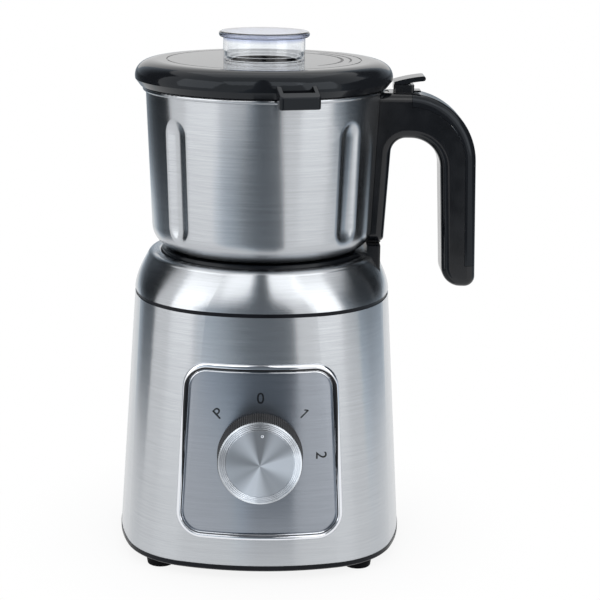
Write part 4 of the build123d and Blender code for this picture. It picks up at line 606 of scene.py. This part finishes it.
# %% Helpers for shells and for their finish
def dress(piece, finish, body, stands_for=()):
    """Gives a piece its finish, the body that it moves with and the solids it stands for."""
    piece.data.materials.clear()
    piece.data.materials.append(finishes[finish])
    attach(piece, body)
    if stands_for:
        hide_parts(*stands_for)
    return piece


def shell(name, columns, rows, place, closed, finish, body, stands_for=()):
    """A piece from place(column, row), closed round its columns. closed says that the last row
    joins the first one too."""
    piece = grid_piece(name, columns, rows, lambda column, row: place(
        column % columns, row % rows if closed else row))
    weld()
    bpy.ops.object.shade_smooth_by_angle(angle=SMOOTH_ANGLE)
    print(name + ":", len(piece.data.polygons), "faces")
    return dress(piece, finish, body, stands_for)


print("edges sharper than", round(math.degrees(SMOOTH_ANGLE)), "degrees stay sharp")

# %% [markdown]
# ## The front wall
#
# The control panel and its frame follow the bulge of the housing's front wall. A shrinkwrap onto
# the housing would follow it too, but would pick up its facets. The wall's shape is known, so it
# is written down: at each level it is an arc, from a half width and a corner measure that change
# evenly from the foot to the seam. The panel's opening is narrower at the top than at the foot and
# has round corners.
# %% The wall as a formula
WALL_FOOT, WALL_HEIGHT = 3.0, 130.0
HALF_FOOT, HALF_SEAM = 76.3, 68.1
SQUARE_FOOT, SQUARE_SEAM = 27.1, 11.4
SIDE_ANGLE = math.radians(18)


def on_wall(x, level, proud):
    """The point of the front wall at this x and level, moved outward by proud."""
    rise = (level - WALL_FOOT) / WALL_HEIGHT
    half = HALF_FOOT + (HALF_SEAM - HALF_FOOT) * rise + proud
    square = SQUARE_FOOT + (SQUARE_SEAM - SQUARE_FOOT) * rise
    radius = half - square + square / math.tan(SIDE_ANGLE)
    return Vector((x, radius - half - math.sqrt(radius ** 2 - x ** 2), level)) * MM


print("the wall's foot is at y =", round(on_wall(0, WALL_FOOT, 0).y, 4))

# %% The outline of the panel's opening
PANEL_LOW, PANEL_HIGH = 20.4, 104.5
PANEL_HALF_LOW, PANEL_HALF_HIGH = 40.3, 35.9
PANEL_CORNER = 9.5
ARC_STEPS, SIDE_STEPS = 10, 16


def panel_edge(margin):
    """The rounded outline of the opening, grown by margin, as points (x, level)."""
    low, high = PANEL_LOW - margin, PANEL_HIGH + margin
    wide, narrow = PANEL_HALF_LOW + margin, PANEL_HALF_HIGH + margin
    corners = [Vector(point) for point in
               ((wide, low), (narrow, high), (-narrow, high), (-wide, low))]
    radius = PANEL_CORNER + margin
    arcs = []
    for number, corner in enumerate(corners):
        back = (corners[number - 1] - corner).normalized()
        ahead = (corners[(number + 1) % 4] - corner).normalized()
        half = back.angle(ahead) / 2
        centre = corner + (back + ahead).normalized() * radius / math.sin(half)
        start = corner + back * radius / math.tan(half) - centre
        turn = math.pi - 2 * half
        arcs.append([centre + Matrix.Rotation(turn * step / ARC_STEPS, 2) @ start
                     for step in range(ARC_STEPS + 1)])
    points = []
    for number, arc in enumerate(arcs):
        following = arcs[(number + 1) % 4][0]
        points += arc
        points += [arc[-1].lerp(following, step / SIDE_STEPS) for step in range(1, SIDE_STEPS)]
    return points


print("outline:", len(panel_edge(0)), "points")

# %% [markdown]
# ## The chrome bezel
#
# The frame round the panel is chromed, with a fine bead next to the panel, a groove, and a broad
# bead that falls to the housing. A bevelled curve would give one round bead only. So the section
# is a list of points, each a margin from the opening and a height over the wall, and the outline
# is grown to every margin in turn.
# %% The bezel
FINE_BEAD = (0.32, 0.32, 0.35, 0.85)
BROAD_BEAD = (2.15, 1.25, 0.30, 1.60)
BEZEL_ROOT, BEZEL_EDGE, BEZEL_SEAT = -3.0, 3.4, 0.02
TOP_EXTRA = 0.35


def bead(centre, half_width, foot, crown, steps):
    """Points (margin, proud) over a half round from its inner to its outer side."""
    turns = [math.pi * step / steps for step in range(steps + 1)]
    return [(centre - half_width * math.cos(turn), foot + (crown - foot) * math.sin(turn))
            for turn in turns]


def bezel_point(x, level, margin, proud):
    """A point of the outline at this margin. The top run is a little broader than the sides."""
    rise = max(0.0, level - (PANEL_HIGH - PANEL_CORNER)) / (PANEL_CORNER + margin)
    return on_wall(x, level + margin * TOP_EXTRA * rise, proud)


section = [(0.0, BEZEL_ROOT)] + bead(*FINE_BEAD, 6) + bead(*BROAD_BEAD, 14)
section += [(BEZEL_EDGE, BEZEL_SEAT), (1.75, BEZEL_SEAT), (1.7, BEZEL_ROOT)]
rings = [[bezel_point(x, level, margin, proud) for x, level in panel_edge(margin)]
         for margin, proud in section]
shell("polished_bezel", len(rings[0]), len(rings), lambda column, row: rings[row][column],
      True, "chrome_trim", "base", ["panel_bezel"])
print("section:", len(section), "points")

# %% [markdown]
# ## The dark line in the bezel
#
# In the photograph the bezel's inner flank mirrors something dark, as a line that is fine at the
# foot, widest at mid height and finer again along the top. A card could be placed for it, but it
# would darken the steel round it too. So the reflection is painted: a thin dark strip on that flank
# shows the same line from every side. Its width comes from a table of levels.
# %% The dark line
LINE_START, LINE_STEPS, LINE_ROOT = 0.72, 8, 0.30
LINE_PROUD, LINE_BURIED = 0.05, -0.25
LINE_WIDTHS = [(20, 0.25), (44, 0.30), (60, 1.2), (86, 2.0), (97, 1.9), (103, 1.1), (110, 1.0)]
flank = [(LINE_START, LINE_ROOT)] + bead(*BROAD_BEAD, 40)
outline = panel_edge(0)


def line_ring(step, proud):
    """The line's points all round, this many steps from its inner edge."""
    ring = []
    for number, (x, level) in enumerate(outline):
        margin = LINE_START + between(LINE_WIDTHS, level)[0] * step / LINE_STEPS
        x, level = panel_edge(margin)[number]
        ring.append(bezel_point(x, level, margin, between(flank, margin)[0] + proud))
    return ring


line_rings = [line_ring(step, LINE_PROUD) for step in range(LINE_STEPS + 1)]
line_rings += [line_ring(step, LINE_BURIED) for step in range(LINE_STEPS, -1, -1)]
# A painted reflection: a dark strip laid on the bezel's flank where the chrome only mirrors something dark.
shell("bezel_painted_reflection", len(outline), len(line_rings),
      lambda column, row: line_rings[row][column], True, "satin_black", "base")
print("line:", len(line_rings), "rings")

# %% [markdown]
# ## The knob
#
# The knob has a dark knurled grip, a little wider at its foot, and a bright front of spun metal
# with four ridges round its face. A boolean could cut the knurl, but it is slow and leaves
# slivers. In a shell whose columns run round the knob, a knurl is only a few columns in every
# four that sit nearer to the axis. The real knob is one assembly, and both pieces stand for its
# one solid.
# %% The knob's own directions
KNOB_RIBS, RIB_STEPS = 120, 4
KNOB_COLUMNS = KNOB_RIBS * RIB_STEPS
knob_out = -Vector(knob_joint["axis"])
knob_up = Vector((1, 0, 0)).cross(-knob_out).normalized()


def knob_place(radius, turn, height):
    """A point by its distance from the axis, clockwise angle from the top and height."""
    across = Vector((1, 0, 0)) * math.sin(turn) + knob_up * math.cos(turn)
    return (KNOB_CENTRE + across * radius + knob_out * height) * MM


print("the knob looks along", [round(value, 3) for value in knob_out])

# %% The dark grip
CORE_RADIUS, GRIP_RADIUS, GRIP_FOOT = 9.5, 21.5, 21.9
GRIP_BACK, GRIP_TOP, GRIP_RIB_DEPTH = 0.8, 17.6, 0.8
grip_section = [(CORE_RADIUS, GRIP_BACK), (GRIP_RADIUS, GRIP_BACK), (GRIP_FOOT, 1.2),
                (GRIP_FOOT, 4.4), (GRIP_RADIUS, 4.9), (GRIP_RADIUS, GRIP_TOP),
                (CORE_RADIUS, GRIP_TOP)]


def grip_point(column, row):
    """The grip's points: two columns in every four are pressed in."""
    radius, height = grip_section[row]
    if radius > CORE_RADIUS and column % RIB_STEPS in (1, 2):
        radius -= GRIP_RIB_DEPTH
    return knob_place(radius, 2 * math.pi * column / KNOB_COLUMNS, height)


shell("knob_collar", KNOB_COLUMNS, len(grip_section), grip_point, True, "seal_rubber", "knob",
      ["knob_body"])
print("grip:", KNOB_RIBS, "ribs")

# %% The bright front
BORE_RADIUS, BORE_END, CORE_START = 3.02, 11.3, 5.8
FRONT_SIDE, FRONT_RIB_DEPTH, RIM_TOP, RIM_BEVEL = 21.2, 0.25, 18.3, 0.4
FACE_RADIUS, FACE_LEVEL, FRONT_LEVEL = 17.35, 18.2, 19.0
RIDGES, RIDGE_STEPS, RIDGE_DEPTH = 4, 10, 0.30

ridge_pitch = (FRONT_SIDE - RIM_BEVEL - FACE_RADIUS) / RIDGES
ridged = [(FACE_RADIUS + ridge_pitch * step / RIDGE_STEPS,
           FRONT_LEVEL - RIDGE_DEPTH * math.cos(math.pi * step / RIDGE_STEPS) ** 2)
          for step in range(RIDGE_STEPS * RIDGES, -1, -1)]
inside = [(0, BORE_END), (BORE_RADIUS, BORE_END), (BORE_RADIUS, CORE_START),
          (CORE_RADIUS, CORE_START), (CORE_RADIUS, GRIP_TOP)]
knurled = [(FRONT_SIDE, GRIP_TOP), (FRONT_SIDE, RIM_TOP)]
front_section = inside + knurled + ridged + [(FACE_RADIUS, FACE_LEVEL), (0, FACE_LEVEL)]


def front_point(column, row):
    """The front's points: its rim is knurled as a zigzag of four columns."""
    radius, height = front_section[row]
    if (radius, height) in knurled:
        step = column % RIB_STEPS
        radius -= FRONT_RIB_DEPTH * min(step, RIB_STEPS - step) / (RIB_STEPS - 1)
    return knob_place(radius, 2 * math.pi * column / KNOB_COLUMNS, height)


shell("knurled_knob", KNOB_COLUMNS, len(front_section) - 1, front_point, False,
      "spun_metal", "knob", ["knob_body"])
print("front:", RIDGES, "ridges of", round(ridge_pitch, 2), "mm")

# %% [markdown]
# ## The pointer and the dial's marks
#
# A small bright dot on the knob's face points at the marks, which are printed on the panel. Print
# could be a picture on the panel, but a mesh stays sharp at any distance. So each mark is a very
# thin figure that follows the wall. Blender's own letters serve for P, 0 and 2. Its 1 has a foot
# that the photograph doesn't show, so that one is drawn from its corner points.
# %% The pointer
POINTER_RADIUS, POINTER_FLATNESS = 0.75, 0.45
POINTER_REACH, POINTER_TURN = 14.1, math.radians(4.5)


def lay(piece, out, up, place):
    """Turns a finished flat mesh so that its Z looks out and its Y looks up, and places it."""
    side = up.cross(out).normalized()
    turn = Matrix((side, out.cross(side), out)).transposed().to_4x4()
    piece.data.transform(Matrix.Translation(place) @ turn)


ready()
bpy.ops.mesh.primitive_uv_sphere_add(segments=24, ring_count=12, radius=POINTER_RADIUS * MM)
pointer = bpy.context.object
pointer.name = "knob_pointer"
pointer.data.transform(Matrix.Scale(POINTER_FLATNESS, 4, (0, 0, 1)))
bpy.ops.object.shade_smooth()
lay(pointer, knob_out, knob_up, knob_place(POINTER_REACH, POINTER_TURN, FRONT_LEVEL))
dress(pointer, "chrome_trim", "knob")
print("pointer", POINTER_REACH, "mm from the axis")

# %% Helpers for the marks
INK, STROKE_EXTRA = 0.05, 0.05
MARK_HEIGHT, CAPITAL_SHARE = 5.6, 0.69
ONE = [(-0.3, -2.8), (0.4, -2.8), (0.4, 2.8), (-0.2, 2.8), (-1.6, 1.7), (-1.6, 0.9),
       (-0.3, 1.8)]


def drawn_mark(points):
    """A thin figure from its corner points."""
    bpy.ops.mesh.primitive_circle_add(vertices=len(points), fill_type="NGON")
    mark = bpy.context.object
    for corner, place in zip(mark.data.vertices, reversed(points)):
        corner.co = (place[0] * MM, place[1] * MM, 0)
    thickness = mark.modifiers.new("ink", "SOLIDIFY")
    thickness.thickness = INK * MM
    thickness.offset = 0
    bpy.ops.object.modifier_apply(modifier="ink")
    return mark


def written_mark(text):
    """A thin letter or figure of Blender's own."""
    bpy.ops.object.text_add()
    mark = bpy.context.object
    mark.data.body = text
    mark.data.align_x = "CENTER"
    mark.data.align_y = "CENTER"
    mark.data.size = MARK_HEIGHT / CAPITAL_SHARE * MM
    mark.data.offset = STROKE_EXTRA * MM
    mark.data.extrude = INK / 2 * MM
    bpy.ops.object.convert(target="MESH")
    return mark


print("the drawn figure has", len(ONE), "corners")

# %% The marks round the knob
PANEL_SUNK, MARK_DROP = 0.4, 1.1
for text, degrees, radius in (("P", -45, 30.3), ("0", 0, 30.0), ("1", 46, 31.3), ("2", 91, 31.2)):
    ready()
    mark = drawn_mark(ONE) if text == "1" else written_mark(text)
    mark.name = "dial_mark_" + text
    turn = math.radians(degrees)
    spot = knob_place(radius, turn, 0) / MM - Vector((0, 0, MARK_DROP))
    foot = on_wall(spot.x, spot.z, INK - PANEL_SUNK)
    level_step = on_wall(spot.x, spot.z + 1, INK - PANEL_SUNK) - foot
    side_step = on_wall(spot.x + 1, spot.z, INK - PANEL_SUNK) - foot
    outward = side_step.cross(level_step).normalized()
    upward = (Matrix.Rotation(turn, 3, -outward) @ level_step).normalized()
    lay(mark, outward, upward, foot)
    dress(mark, "satin_black", "base")
    print("mark", text, "at", degrees, "degrees")

# %% [markdown]
# ## The turning mark on the lid
#
# Two curved strokes beside the feeder cap show which way the lid turns. On the real lid they are
# moulded a hair proud of the gloss. A bevelled curve could make them, but its round section would
# catch too much light. So each is a flat strip on a grid, tapered towards its ends, which lies in
# the lid and stands out by a few hundredths of a millimetre.
# %% The strokes on the lid
LID_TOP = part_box("lid_cover")[1].z / MM
STROKE_STEPS, STROKE_SUNK, STROKE_THICK = 63, 0.03, 0.06
END_WIDTH, TAPER = 0.25, 0.6
STROKE_CORNERS = ((-1, 0), (1, 0), (1, 1), (-1, 1))


def stroke(name, radius, start, end, width):
    """A curved strip on the lid, widest in its middle. Angles are in degrees from the handle."""
    def edge_point(column, row):
        part = column / STROKE_STEPS
        turn = math.radians(start + (end - start) * part)
        taper = END_WIDTH + (1 - END_WIDTH) * math.sin(math.pi * part) ** TAPER
        out, up = STROKE_CORNERS[row % len(STROKE_CORNERS)]
        reach_out = radius + out * (width / 2 * taper)
        return Vector((reach_out * math.cos(turn), reach_out * math.sin(turn),
                       LID_TOP - STROKE_SUNK + up * STROKE_THICK)) * MM

    strip = grid_piece(name, STROKE_STEPS, len(STROKE_CORNERS), edge_point)
    weld(fill_ends=True)
    dress(strip, "charcoal", "lid")


stroke("lid_stroke_inner", 41.0, -48, 62, 1.6)
stroke("lid_stroke_outer", 45.6, -16, 50, 1.3)
print("strokes at level", round(LID_TOP, 2))
